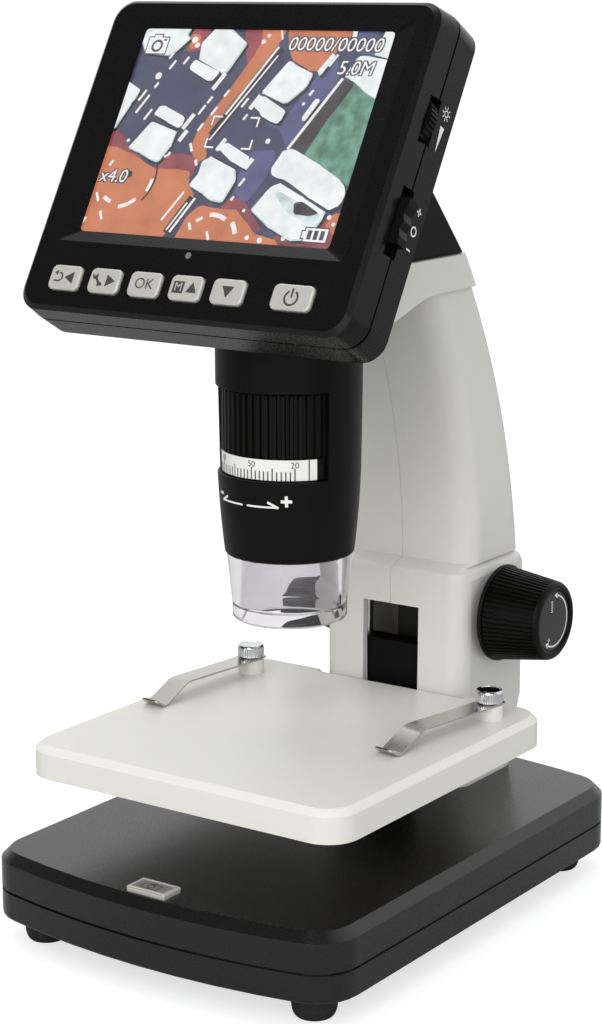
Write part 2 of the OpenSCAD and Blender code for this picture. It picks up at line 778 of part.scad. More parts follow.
module stage_carriage() {
    color("#1b1b1c") difference() {
        union() {
            translate([-carriage_half, carriage_front, carriage_low])
                cube([2 * carriage_half, carriage_d, carriage_h]);
            translate([-tongue_half, stage_notch_y - tongue_reach, z_tongue])
                cube([2 * tongue_half, carriage_front - stage_notch_y + tongue_reach + eps, tongue_t]);
        }
        both_sides() translate([rod_x, rod_y, carriage_low - over])
            cylinder(r = rod_r + run, h = carriage_h + 2 * over);
        both_sides() translate([stage_screw_x, stage_screw_y, z_tongue - over]) {
            cylinder(r = screw_head_r, h = screw_head_h + over);
            cylinder(r = screw_r, h = tongue_t + 2 * over);
        }
    }
}

module stage_screws() {
    color("#8d9094") both_sides() translate([stage_screw_x, stage_screw_y, z_tongue])
        screw(tongue_t - screw_head_h + stage_wall - 1);
}

module focus_rack() {
    pitch = gear_m * PI;
    half_pitch = pitch / 4 - tooth_play;
    tip = half_pitch - addendum * tan(20);
    root = half_pitch + dedendum * tan(20);
    first = ceil((rack_z0 - shaft_z) / pitch);
    last = floor((rack_z1 - shaft_z) / pitch) - 1;
    back_y = carriage_front + carriage_d;
    color("#b08d57") side_prism(concat([[back_y, rack_z1], [back_y, rack_z0],
        [rack_y - dedendum, rack_z0]],
        [for (k = [first:last]) let (z = shaft_z + (k + 0.5) * pitch)
            each [[rack_y - dedendum, z - root], [rack_y + addendum, z - tip],
                [rack_y + addendum, z + tip], [rack_y - dedendum, z + root]]],
        [[rack_y - dedendum, rack_z1]]), rack_w / 2);
}

z_clip = z_plate + post_h;

module clip_screws() {
    cap_h = 3.3;
    cap_dish = 0.6;
    color("#c8ccd0") both_sides() translate([clip_x, clip_y, 0]) {
        translate([0, 0, z_stage + stage_wall])
            cylinder(r = pin_r, h = z_clip + clip_t + 2 * run - z_stage - stage_wall + eps);
        translate([0, 0, z_clip + clip_t + 2 * run]) difference() {
            cylinder(r = post_r, h = cap_h);
            translate([0, 0, cap_h - cap_dish]) cylinder(r = post_r - 0.7, h = cap_dish + over);
        }
    }
}

// A clip at its post, running towards -Y: flat, sloping down to the stage, and turned up at its tip
module clip_shape() {
    z0 = z_clip + run;
    dip = 6;
    tip_run = 3.4;
    tip_rise = 2;
    z_touch = z_plate + run;
    line = [[0, z0], [-clip_w, z0], [-clip_flat, z0 + 0.6],
        [-clip_flat - clip_slope + dip / 4, z_touch + 0.6],
        [-clip_flat - clip_slope, z_touch], [-clip_flat - clip_slope - dip / 6, z_touch + 0.2],
        [-clip_flat - clip_slope - tip_run, z_touch + tip_rise]];
    n = len(line);
    color("#b4b6b6") difference() {
        union() {
            side_prism(concat(line, [for (i = [n - 1:-1:0]) line[i] + [0, clip_t]]), clip_w / 2);
            translate([0, 0, z0]) cylinder(r = clip_w / 2, h = clip_t);
        }
        translate([0, 0, z0 - over]) cylinder(r = pin_r + run, h = clip_t + 2 * over);
    }
}

module clip_right() {
    lean_in = -7;
    translate([clip_x, clip_y, 0]) rotate([0, 0, lean_in]) clip_shape();
}

module clip_left() {
    splay = -2.5;
    translate([-clip_x, clip_y, 0]) rotate([0, 0, splay]) clip_shape();
}

// Monitor head. Local axes: x across, y up the screen, z out of the screen, from the screen's middle

mon_y = tube_y - screen_fwd;
mon_z = z_collar + screen_up;
n_front = 1.2;
n_plate = n_front - mon_wall;
n_seam = n_front - mon_front_t;
n_rear = n_front - mon_t;
n_back = n_rear + mon_wall;
mon_mid = screen_h / 2 + screen_margin - mon_h / 2;
mon_half = mon_w / 2;
board_pcb = 1.6;
n_board = n_back + 3.4;
post_in = 5.4;
post = [mon_half - post_in, mon_mid + mon_h / 2 - post_in, mon_mid - mon_h / 2 + post_in];
mon_post_r = 2.8;
sink_h = 2.4;
n_post = n_back + 2;
window_lip = 1.9;
window_t = 1;
slot_t = 4;
n_slot = n_seam + 0.6;
wheel_x = mon_half + 0.8 - wheel_r;
wheel_t = 3;
lever_neck = lever_slot - 2 * lever_travel - 2 * gap;
lcd_side = 3.15;
lcd_top = 3.7;
lcd_low = 7.2;
lcd_t = 2.2;
board_half = 37;
tab_half = mon_half - 3;
usb = [9, 8, 3.2];
usb_up = 5;
card = [15, 13, 2.2];
card_drop = 15;
side_gap = 0.4;
head_post = [arm_half(z_roof) - 4.2, -20, 8];
plug_hole_u = -6;
stud_x = board_half - 4;
stud_u = [post[1] - 5, -key_drop + 1];

module on_head() {
    translate([0, mon_y, mon_z]) rotate([90 - mon_tilt, 0, 0]) children();
}

function head_pt(u, n) = [mon_y + u * sin(mon_tilt) - n * cos(mon_tilt),
    mon_z + u * cos(mon_tilt) + n * sin(mon_tilt)];

module mon_slab(inset, n0, n1, r) {
    translate([0, mon_mid, n0]) linear_extrude(n1 - n0)
        round_rect(mon_w - 2 * inset, mon_h - 2 * inset, r);
}

module side_slots() {
    translate([mon_half - mon_wall - over, wheel_up - wheel_slot / 2, n_slot - slot_t / 2])
        cube([mon_wall + 2 * over, wheel_slot, slot_t]);
    translate([mon_half - mon_wall - over, -lever_drop - lever_slot / 2, n_slot - slot_t / 2])
        cube([mon_wall + 2 * over, lever_slot, slot_t]);
}

module at_posts() {
    for (u = [post[1], post[2]]) both_sides() translate([post[0], u, 0]) children();
}

// Places and widths of the keys in their row
keys = [for (i = [0:4]) [key_start + key_pitch * i, key_w]];
power = [power_x, power_w];

module monitor_front_shell() {
    color("#262628") on_head() {
        difference() {
            hull() {
                mon_slab(0, n_seam, n_front - mon_bevel, mon_corner_r, $fn = 32);
                mon_slab(mon_bevel, n_front - eps, n_front, mon_corner_r - mon_bevel * 0.5, $fn = 32);
            }
            mon_slab(mon_wall, n_seam - over, n_plate, mon_corner_r - mon_wall);
            translate([0, 0, n_plate - over])
                linear_extrude(mon_wall + 2 * over) round_rect(screen_w, screen_h, 1);
            translate([0, 0, n_plate - over]) linear_extrude(window_t + over)
                round_rect(screen_w + 2 * window_lip, screen_h + 2 * window_lip, 1.5);
            for (k = concat(keys, [power])) translate([k[0], -key_drop, n_plate - over])
                linear_extrude(mon_wall + 2 * over) round_rect(k[1] + 2 * gap, key_h + 2 * gap, 1.6);
            translate([-1, -key_drop + 8, n_plate - over]) cylinder(r = led_r, h = mon_wall + 2 * over);
            side_slots();
        }
        at_posts() translate([0, 0, n_post]) tube(mon_post_r, screw_r, n_plate - n_post + eps);
    }
}

module monitor_rear_shell() {
    color("#262628") on_head() difference() {
        union() {
            difference() {
                union() {
                    hull() {
                        mon_slab(0, n_rear + mon_bevel, n_seam - seam_groove, mon_corner_r, $fn = 32);
                        mon_slab(mon_bevel, n_rear, n_rear + eps, mon_corner_r - mon_bevel * 0.5, $fn = 32);
                    }
                    mon_slab(seam_groove, n_seam - seam_groove - eps, n_seam, mon_corner_r - seam_groove);
                }
                mon_slab(mon_wall, n_back, n_seam + over, mon_corner_r - mon_wall);
            }
            at_posts() translate([0, 0, n_back - eps])
                cylinder(r = mon_post_r + 1.2, h = n_post - n_back + eps);
            for (u = stud_u) both_sides() translate([stud_x, u, n_back - eps])
                cylinder(r = 2, h = n_board - board_pcb - n_back + eps);
        }
        at_posts() translate([0, 0, n_rear - over]) {
            cylinder(r = screw_head_r + 0.2, h = sink_h + over);
            cylinder(r = screw_r, h = mon_wall + 2 * over + 2);
        }
        for (u = [head_post[1], head_post[2]]) both_sides() translate([head_post[0], u, n_rear - over])
            cylinder(r = screw_r, h = mon_wall + 2 * over);
        translate([0, plug_hole_u, n_rear - over]) cylinder(r = 2 * cable_hole_r, h = mon_wall + 2 * over);
        side_slots();
        translate([-mon_half - over, usb_up - usb[1] / 2 - side_gap, n_board - side_gap])
            cube([mon_wall + 2 * over, usb[1] + 2 * side_gap, usb[2] + 2 * side_gap]);
        translate([-mon_half - over, -card_drop - card[1] / 2 - side_gap, n_board - side_gap])
            cube([mon_wall + 2 * over, card[1] + 2 * side_gap, card[2] + 2 * side_gap]);
    }
}

module monitor_screws() {
    color("#8d9094") on_head() at_posts() translate([0, 0, n_rear + sink_h - screw_head_h])
        screw(n_plate - n_rear - sink_h - 2);
}

module screen_window() {
    color("#16181c") on_head() translate([0, 0, n_plate]) linear_extrude(window_t)
        round_rect(screen_w + 2 * window_lip, screen_h + 2 * window_lip, 1.5);
}

module lcd_panel() {
    half = screen_w / 2 + lcd_side;
    color("#8fa0b5") on_head() translate([-half, -screen_h / 2 - lcd_low, n_plate - lcd_t])
        cube([2 * half, lcd_low + screen_h + lcd_top, lcd_t]);
}

module main_board() {
    tab_up = wheel_up + 8;
    tab_low = -lever_drop - 9;
    low = -key_drop - 3.6;
    high = post[1] - 1;
    color("#2f6b46") on_head() translate([0, 0, n_board - board_pcb]) linear_extrude(board_pcb) {
        translate([-board_half, low]) square([2 * board_half, high - low]);
        translate([-tab_half, tab_low]) square([2 * tab_half, tab_up - tab_low]);
    }
}

n_key_back = n_plate - 0.1;
key_flange_t = 1;
key_stem = 0.5;
n_key_stem = n_key_back - key_flange_t - key_stem;

module key_switches() {
    body = 6;
    body_h = 3.5;
    color("#45484c") on_head() for (k = concat(keys, [power])) translate([k[0], -key_drop, n_board]) {
        translate([-body / 2, -body / 2, 0]) cube([body, body, body_h]);
        cylinder(r = 1.7, h = n_key_stem - key_travel - run - n_board);
    }
}

module key(place) {
    proud = 0.6;
    brim = 0.8;
    color("#c4c5c4") on_head() translate([place[0], -key_drop, 0]) {
        translate([0, 0, n_key_back - eps]) linear_extrude(n_front + proud - n_key_back + eps)
            round_rect(place[1], key_h, 1.5);
        translate([0, 0, n_key_back - key_flange_t]) linear_extrude(key_flange_t)
            round_rect(place[1] + 2 * brim, key_h + 2 * brim, 1.5);
        translate([0, 0, n_key_stem]) cylinder(r = 1.6, h = key_stem + eps);
    }
}

module back_button() {
    key(keys[0]);
}

module setup_button() {
    key(keys[1]);
}

module ok_button() {
    key(keys[2]);
}

module mode_button() {
    key(keys[3]);
}

module down_button() {
    key(keys[4]);
}

module power_button() {
    key(power);
}

led_r = 0.8;

module status_led() {
    color("#d9e6d0") on_head() translate([-1, -key_drop + 8, n_plate])
        cylinder(r = led_r, h = mon_wall);
}

module usb_socket() {
    inner = [6.8, 2.2];
    color("#a9adb0") on_head() translate([-mon_half + 0.4, usb_up - usb[1] / 2, n_board]) difference() {
        cube(usb);
        translate([-over, (usb[1] - inner[0]) / 2, (usb[2] - inner[1]) / 2])
            cube([usb[0] - 1, inner[0], inner[1]]);
    }
}

module card_socket() {
    inner = [11.4, 1];
    color("#a9adb0") on_head() translate([-mon_half + 0.4, -card_drop - card[1] / 2, n_board]) difference() {
        cube(card);
        translate([-over, (card[1] - inner[0]) / 2, (card[2] - inner[1]) / 2])
            cube([card[0] - 1, inner[0], inner[1]]);
    }
}

module brightness_wheel() {
    notches = 36;
    color("#1a1a1b") on_head() translate([wheel_x, wheel_up, n_slot - wheel_t / 2]) difference() {
        linear_extrude(wheel_t) polygon(ribbed(notches, wheel_r - 0.35, wheel_r));
        translate([0, 0, -over]) cylinder(r = pin_r + run, h = wheel_t + 2 * over);
    }
}

module wheel_pot() {
    body_top = n_slot - wheel_t / 2 - gap;
    color("#45484c") on_head() translate([wheel_x, wheel_up, n_board]) {
        cylinder(r = 3.4, h = body_top - n_board);
        cylinder(r = pin_r, h = n_slot + wheel_t / 2 - n_board - 0.3);
    }
}

lever_flange = [1.4, lever_slot + 2 * lever_travel + 2, slot_t + 2];

module zoom_lever() {
    knob = 2;
    tail = 1.6;
    x_in = mon_half - mon_wall - 0.2 - lever_flange[0];
    color("#1a1a1b") on_head() translate([x_in, -lever_drop, n_slot]) {
        translate([0, -lever_flange[1] / 2, -lever_flange[2] / 2]) cube(lever_flange);
        translate([0, -lever_neck / 2, -slot_t / 2 + gap])
            cube([lever_flange[0] + mon_wall + 0.2 + knob, lever_neck, slot_t - 2 * gap]);
        translate([-tail, -1.2, -lever_flange[2] / 2]) cube([tail + eps, 2.4, 2]);
    }
}

module lever_switch() {
    body = [6, 11, n_slot - lever_flange[2] / 2 - n_board - gap];
    color("#45484c") on_head()
        translate([mon_half - mon_wall - 1.8 - body[0], -lever_drop - body[1] / 2, n_board])
        cube(body);
}

head_half = arm_half(z_roof) + 0.4;
head_peak = 26.5;

// Corner where two lines meet, each through a point along a direction
function meet(p, d, q, e) = p + d * ((q - p)[0] * e[1] - (q - p)[1] * e[0]) / (d[0] * e[1] - d[1] * e[0]);

module head_housing() {
    peak = head_pt(head_peak, n_rear);
    heel = [collar_rear(z_collar) - head_step, z_collar];
    up = [sin(mon_tilt), cos(mon_tilt)];
    toe = meet(peak, up, heel, [1, 0]);
    fall = (heel - peak) / norm(heel - peak);
    inward = [fall[1], -fall[0]];
    floor_pt = [heel[0], z_collar + head_wall];
    slope_pt = peak + inward * head_wall;
    past = peak + [-cos(mon_tilt), sin(mon_tilt)] * over;
    color("#262628") {
        difference() {
            side_prism([toe, heel, peak], head_half);
            side_prism([meet(past, up, floor_pt, [1, 0]), meet(slope_pt, fall, floor_pt, [1, 0]),
                meet(past, up, slope_pt, fall)], head_half - head_wall);
            translate([0, roof_hole_y, z_collar - over]) cylinder(r = cable_hole_r, h = head_wall + 2 * over);
            for (y = collar_screw_y) both_sides() translate([collar_screw_x, y, z_collar - over])
                cylinder(r = screw_r, h = head_wall + 2 * over);
        }
        on_head() for (u = [head_post[1], head_post[2]]) both_sides()
            translate([head_post[0], u, n_rear - 9]) tube(3, screw_r, 9);
    }
}

module head_screws() {
    color("#8d9094") on_head() for (u = [head_post[1], head_post[2]]) both_sides()
        translate([head_post[0], u, n_back + screw_head_h]) mirror([0, 0, 1]) screw(mon_wall + 7);
}

// Tube

barrel_top = z_roof - 3.3;
barrel_bore = barrel_end_r - 1.8;
ring_space = ring_r + 0.1;
spigot_h = 3.7;
led_t = 1.2;
ledge_t = 1.5;
z_ledge = z_barrel + spigot_h + led_t;
spigot_r = barrel_end_r - 2.2;
carrier_r = 12;

module barrel() {
    window_r = tube_r * (1 - 0.02);
    swell = 0.25;
    rim = 0.8;
    mid_r = (window_r + barrel_end_r) / 2 + swell;
    color("#1c1c1d") translate([0, tube_y, 0]) difference() {
        rotate_extrude() polygon([[barrel_end_r, z_barrel], [mid_r, (z_barrel + z_ring) / 2],
            [window_r, z_ring - rim], [tube_r, z_ring_top + rim], [tube_r, barrel_top],
            [barrel_bore, barrel_top],
            [barrel_bore, z_ring_top + gap], [ring_space, z_ring_top + gap], [ring_space, z_ring - gap],
            [barrel_bore, z_ring - gap], [barrel_bore, z_ledge + ledge_t], [spigot_r - 2, z_ledge + ledge_t],
            [spigot_r - 2, z_ledge], [spigot_r, z_ledge], [spigot_r, z_barrel]]);
        translate([0, 0, z_ring]) rotate([0, 0, -90 - ring_window / 2]) rotate_extrude(angle = ring_window)
            translate([ring_space - over, 0]) square([tube_r, ring_h]);
    }
}

band_t = 0.3;
z_band = z_ring + gap;

module zoom_ring() {
    rib = 0.5;
    h = ring_h - 2 * gap;
    color("#161617") translate([0, tube_y, z_band]) difference() {
        union() {
            cylinder(r = ring_r - band_t, h = h);
            translate([0, 0, band_h])
                linear_extrude(h - band_h) polygon(ribbed(ring_ribs, ring_r - rib, ring_r));
        }
        translate([0, 0, -over]) cylinder(r = carrier_r + run, h = h + 2 * over);
    }
}

module scale_band() {
    start = -118;
    sweep = 87;
    color("#e8e8e4") translate([0, tube_y, z_band]) rotate([0, 0, start]) rotate_extrude(angle = sweep)
        translate([ring_r - band_t, 0]) square([band_t, band_h]);
}

lens_r = 5.5;
lens_t = 4;
carrier_h = 20;
z_carrier = z_ring - 2;

module lens_carrier() {
    color("#26282b") translate([0, tube_y, z_carrier]) difference() {
        cylinder(r = carrier_r, h = carrier_h);
        translate([0, 0, -over]) cylinder(r = lens_r, h = lens_t + over + eps);
        translate([0, 0, lens_t]) cylinder(r = lens_r - 0.8, h = 2);
        translate([0, 0, lens_t + 1.5]) cylinder(r = carrier_r - 2.5, h = carrier_h);
    }
}

module objective_lens() {
    color("#9fc3d4") translate([0, tube_y, z_carrier]) cylinder(r = lens_r, h = lens_t);
}

module sensor_board() {
    chip_w = 10;
    chip_t = 1.5;
    color("#2f6b46") translate([0, tube_y, barrel_top]) cylinder(r = tube_r - fit, h = board_pcb);
    color("#2f6b46") translate([-chip_w / 2, tube_y - chip_w / 2, barrel_top - chip_t])
        cube([chip_w, chip_w, chip_t + eps]);
}

module led_ring() {
    leds = 8;
    color("#e6e6dc") translate([0, tube_y, z_ledge - led_t]) {
        tube(spigot_r, 6, led_t);
        for (i = [0:leds - 1]) rotate([0, 0, 360 * i / leds]) translate([spigot_r - 4.6, 0, -1.2])
            cylinder(r = 1.4, h = 1.2 + eps);
    }
}

module nosepiece() {
    flange_h = 4;
    shoulder_r = barrel_end_r - 0.4;
    color("#dfe6e8") translate([0, tube_y, 0]) rotate_extrude() polygon([
        [nose_r - nose_wall - 0.6, z_nose], [nose_r - 0.6, z_nose], [nose_r, z_nose + 0.8],
        [nose_r, z_nose + flange_h], [shoulder_r, z_barrel], [spigot_r, z_barrel],
        [spigot_r, z_barrel + spigot_h], [spigot_r - nose_wall, z_barrel + spigot_h],
        [spigot_r - nose_wall, z_barrel - 1], [nose_r - nose_wall, z_nose + flange_h],
        [nose_r - nose_wall - 0.6, z_nose + flange_h - 1]]);
}

base_top_shell();
base_bottom_shell();
rubber_feet();
base_screws();
ballast_plate();
battery_pack();
snap_button();
shutter_board();
column_left_shell();
column_right_shell();
column_screws();
guide_rods();
shaft_bushes();
arm_collar();
collar_screws();
wire_harness();
focus_shaft();
pinion_gear();
knob_right();
knob_left();
knob_cap_right();
knob_cap_left();
stage_plate();
stage_carriage();
focus_rack();
stage_screws();
clip_screws();
clip_left();
clip_right();
head_housing();
head_screws();
monitor_rear_shell();
monitor_front_shell();
monitor_screws();
screen_window();
lcd_panel();
main_board();
key_switches();
status_led();
usb_socket();
card_socket();
brightness_wheel();
wheel_pot();
zoom_lever();
lever_switch();
back_button();
setup_button();
ok_button();
mode_button();
down_button();
power_button();
barrel();
zoom_ring();
scale_band();
lens_carrier();
objective_lens();
sensor_board();
led_ring();
nosepiece();
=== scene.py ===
# Digital microscope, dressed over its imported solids: weighted base, column with a rack-driven stage,
# leaning arm, zoom tube and tilted screen head, on a plain floor in soft studio light.
import json
import math
import random

import bpy
from mathutils import Matrix, Vector

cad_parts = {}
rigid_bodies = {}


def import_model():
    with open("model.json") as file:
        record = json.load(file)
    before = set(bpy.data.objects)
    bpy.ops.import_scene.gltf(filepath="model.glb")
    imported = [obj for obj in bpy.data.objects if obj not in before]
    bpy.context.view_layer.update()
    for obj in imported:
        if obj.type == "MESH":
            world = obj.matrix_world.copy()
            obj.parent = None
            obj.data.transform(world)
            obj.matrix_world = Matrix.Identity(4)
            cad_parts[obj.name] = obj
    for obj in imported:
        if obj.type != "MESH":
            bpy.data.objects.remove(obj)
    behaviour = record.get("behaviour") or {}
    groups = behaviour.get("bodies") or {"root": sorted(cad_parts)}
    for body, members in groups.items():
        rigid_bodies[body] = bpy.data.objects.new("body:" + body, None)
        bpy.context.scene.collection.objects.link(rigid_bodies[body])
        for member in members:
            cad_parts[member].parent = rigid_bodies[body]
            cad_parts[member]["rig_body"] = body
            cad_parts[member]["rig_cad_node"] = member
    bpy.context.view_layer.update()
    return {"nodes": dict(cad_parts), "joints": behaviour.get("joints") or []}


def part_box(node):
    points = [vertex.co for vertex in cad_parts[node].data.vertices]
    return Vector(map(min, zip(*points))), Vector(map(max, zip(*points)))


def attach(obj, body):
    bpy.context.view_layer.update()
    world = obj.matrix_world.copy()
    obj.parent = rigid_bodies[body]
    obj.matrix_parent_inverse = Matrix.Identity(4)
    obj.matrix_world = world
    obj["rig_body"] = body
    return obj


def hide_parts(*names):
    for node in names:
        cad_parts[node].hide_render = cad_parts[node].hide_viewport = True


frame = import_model()
MM = 0.001

# Lower base shell
# A shallow black ABS tray moulded in one piece, with a soft lower edge and a rim that sits back
# below the seam. The mould's spark-eroded cavity leaves a fine even grain.


def linear(hex_colour):
    """An sRGB hex colour as the linear colour that a socket takes."""
    parts = [int(hex_colour[i:i + 2], 16) / 255 for i in (1, 3, 5)]
    return [c / 12.92 if c <= 0.04045 else ((c + 0.055) / 1.055) ** 2.4 for c in parts] + [1]


def feed(tree, node, inputs):
    """Sets a node's inputs, each to a constant or to the output that feeds it."""
    for name, value in inputs.items():
        if isinstance(value, bpy.types.NodeSocket):
            tree.links.new(value, node.inputs[name])
        else:
            node.inputs[name].default_value = value
    return node


def add_node(tree, kind, inputs=None, **settings):
    """Adds one shader node with its settings and inputs."""
    node = tree.nodes.new(kind)
    for name, value in settings.items():
        setattr(node, name, value)
    return feed(tree, node, inputs or {})


def blank(name):
    """A new material, with its node tree and its shader."""
    material = bpy.data.materials.new(name)
    material.use_nodes = True
    return material, material.node_tree, material.node_tree.nodes["Principled BSDF"]


def drifting(tree, place, colour, spread, patch_mm, detail, ends=(0, 1)):
    """A colour that drifts in patches between a darker and a lighter tone."""
    noise = add_node(tree, "ShaderNodeTexNoise", {"Vector": place, "Scale": 1 / (patch_mm * MM),
                                                  "Detail": detail})
    ramp = add_node(tree, "ShaderNodeValToRGB", {"Fac": noise.outputs["Fac"]})
    for element, at, share in zip(ramp.color_ramp.elements, ends, (1 - spread, 1 + spread)):
        element.position = at
        element.color = [min(c * share, 1) for c in linear(colour)[:3]] + [1]
    return ramp.outputs["Color"]


def grained(name, colour, roughness, grain_mm, depth_mm, tint=0.05, patch_mm=25,
            stretch=(1, 1, 1), **sockets):
    """A surface whose colour drifts in patches and whose grain breaks up its gloss and catches the light."""
    grain_low, grain_high, gloss_spread, relief = 0.3, 0.7, 0.12, 0.6
    material, tree, shader = blank(name)
    place = add_node(tree, "ShaderNodeTexCoord").outputs["Object"]
    along = add_node(tree, "ShaderNodeMapping", {"Vector": place, "Scale": stretch}).outputs["Vector"]
    grain = add_node(tree, "ShaderNodeTexNoise",
                     {"Vector": along, "Scale": 1 / (grain_mm * MM), "Detail": 3.0}).outputs["Fac"]
    gloss = add_node(tree, "ShaderNodeMapRange", {
        "Value": grain, "From Min": grain_low, "From Max": grain_high,
        "To Min": roughness * (1 - gloss_spread), "To Max": min(roughness * (1 + gloss_spread), 1)})
    bump = add_node(tree, "ShaderNodeBump", {"Height": grain, "Strength": relief, "Distance": depth_mm * MM})
    feed(tree, shader, {"Base Color": drifting(tree, along, colour, tint, patch_mm, 2.0),
                        "Roughness": gloss.outputs["Result"], "Normal": bump.outputs["Normal"]})
    feed(tree, shader, {socket.replace("_", " "): value for socket, value in sockets.items()})
    return material


def activate(piece, mode="OBJECT"):
    """Leaves only this piece selected and active, in the mode asked for."""
    if bpy.context.object and bpy.context.object.mode != "OBJECT":
        bpy.ops.object.mode_set(mode="OBJECT")
    bpy.ops.object.select_all(action="DESELECT")
    piece.select_set(True)
    bpy.context.view_layer.objects.active = piece
    bpy.ops.object.mode_set(mode=mode)
    return piece


def pick(piece, *others):
    """Selects these pieces, the first of them active."""
    activate(piece)
    for other in others:
        other.select_set(True)


def merge(piece, *others):
    """Joins other pieces into this one."""
    pick(piece, *others)
    bpy.ops.object.join()


def select_whole(piece):
    """Enters edit mode with all of the piece selected."""
    activate(piece, "EDIT")
    bpy.ops.mesh.select_all(action="SELECT")


def copy_of(node, name):
    """Starts a piece from a solid of the frame: its triangles merged and its flat faces made whole."""
    weld, flat = 0.002 * MM, math.radians(0.6)
    activate(frame["nodes"][node])
    bpy.ops.object.duplicate()
    piece = bpy.context.object
    piece.name = name
    piece.parent = None
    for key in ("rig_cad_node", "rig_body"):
        del piece[key]
    piece.data.materials.clear()
    select_whole(piece)
    bpy.ops.mesh.remove_doubles(threshold=weld)
    bpy.ops.mesh.dissolve_limited(angle_limit=flat)
    return activate(piece)


def choose(piece, kind, test):
    """Selects the vertices, edges or faces whose middle passes the test, and enters edit mode."""
    activate(piece, "EDIT")
    bpy.ops.mesh.select_mode(type={"vertices": "VERT", "edges": "EDGE", "polygons": "FACE"}[kind])
    bpy.ops.mesh.select_all(action="DESELECT")
    bpy.ops.object.mode_set(mode="OBJECT")
    points = piece.data.vertices
    for part in getattr(piece.data, kind):
        corners = [part.co] if kind == "vertices" else [points[i].co for i in part.vertices]
        part.select = bool(test(sum(corners, Vector()) / len(corners)))
    bpy.ops.object.mode_set(mode="EDIT")


def select_keen(piece, degrees):
    """Enters edit mode with the edges selected that are sharper than an angle."""
    activate(piece, "EDIT")
    bpy.ops.mesh.select_mode(type="EDGE")
    bpy.ops.mesh.select_all(action="DESELECT")
    bpy.ops.mesh.edges_select_sharp(sharpness=math.radians(degrees))


def round_edges(piece, radius_mm, where=lambda p: True, segments=3, sharp=28):
    """Rounds the sharp edges whose middle lies where asked, as the radius in a mould does."""
    select_keen(piece, sharp)
    bpy.ops.object.mode_set(mode="OBJECT")
    points = piece.data.vertices
    keen = {e.index for e in piece.data.edges
            if e.select and where((points[e.vertices[0]].co + points[e.vertices[1]].co) / 2)}
    choose(piece, "edges", lambda p: False)
    bpy.ops.object.mode_set(mode="OBJECT")
    for index in keen:
        piece.data.edges[index].select = True
    bpy.ops.object.mode_set(mode="EDIT")
    bpy.ops.mesh.bevel(offset=radius_mm * MM, segments=segments, affect="EDGES", clamp_overlap=True)
    return activate(piece)


def modify(piece, kind, **settings):
    """Adds a modifier with its settings and applies it."""
    activate(piece)
    bpy.ops.object.modifier_add(type=kind)
    for name, value in settings.items():
        setattr(piece.modifiers[-1], name, value)
    bpy.ops.object.modifier_apply(modifier=piece.modifiers[-1].name)


def settle(piece, body, material, slot, *nodes, crease=32):
    """Gives a finished piece its shading, material and body, and hides the solids it stands for. The slot
    argument is not used.
    """
    activate(piece)
    bpy.ops.object.transform_apply(location=True, rotation=True, scale=True)
    bpy.ops.object.shade_smooth_by_angle(angle=math.radians(crease))
    select_keen(piece, crease)
    bpy.ops.mesh.mark_sharp()
    modify(piece, "WEIGHTED_NORMAL", keep_sharp=True)
    if not piece.data.materials:
        piece.data.materials.append(material)
    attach(piece, body)
    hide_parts(*nodes)
    return piece


def dress(material, *nodes):
    """Gives solids that stay as they are their material."""
    for node in nodes:
        for holder in frame["nodes"][node].material_slots:
            holder.material = material


# Black ABS, spark-eroded mould: a dark warm grey with a broad soft sheen. The real grain is about
# 0.1 mm and is drawn at 0.5 mm, so that it still shows.
black_abs = grained("black_moulded_abs", "#0d0c0c", 0.26, 0.5, 0.0008, tint=0.08, IOR=1.52)
base_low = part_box("base_bottom_shell")[0]
base_soft = 0.3
base_edge = 3
skirt_reach = 60


def on_skirt(p):
    """Whether a point lies at the outside of the base."""
    return abs(p.x) + abs(p.y) > skirt_reach * MM


base_bottom = copy_of("base_bottom_shell", "base_bottom_tray")
round_edges(base_bottom, base_soft, lambda p: p.z < base_low.z + base_edge * MM and on_skirt(p))
settle(base_bottom, "stand", black_abs, "black_plastic", "base_bottom_shell")

# Ballast, battery and snap switch board
# What lies inside the base: a cast iron plate that keeps it steady, a shrink-wrapped battery pack and a
# small board that carries the snap switch. All are closed in by the shells.
solder_mask = grained("green_solder_mask", "#1f5a38", 0.35, 0.6, 0.02, tint=0.2, patch_mm=4, IOR=1.55)
dress(grained("grey_cast_iron", "#4c4d50", 0.7, 0.8, 0.06, tint=0.15, Metallic=0.9), "ballast_plate")
dress(grained("blue_shrink_wrap", "#2f5f9e", 0.3, 1.2, 0.02, IOR=1.54), "battery_pack")
dress(solder_mask, "shutter_board")

# Rubber feet
# Four round feet moulded in black rubber, domed to a flat contact face and glued under the tray.


def fresh(add, **settings):
    """Adds a new object with nothing else selected."""
    bpy.ops.object.select_all(action="DESELECT")
    add(**settings)
    return bpy.context.object


def face_outward(piece):
    """Turns all faces of the piece outward."""
    select_whole(piece)
    bpy.ops.mesh.normals_make_consistent(inside=False)
    return activate(piece)


def extrude(x, y, z):
    """Draws what is selected out by a step in metres."""
    bpy.ops.mesh.extrude_region_move(TRANSFORM_OT_translate={"value": (x, y, z)})


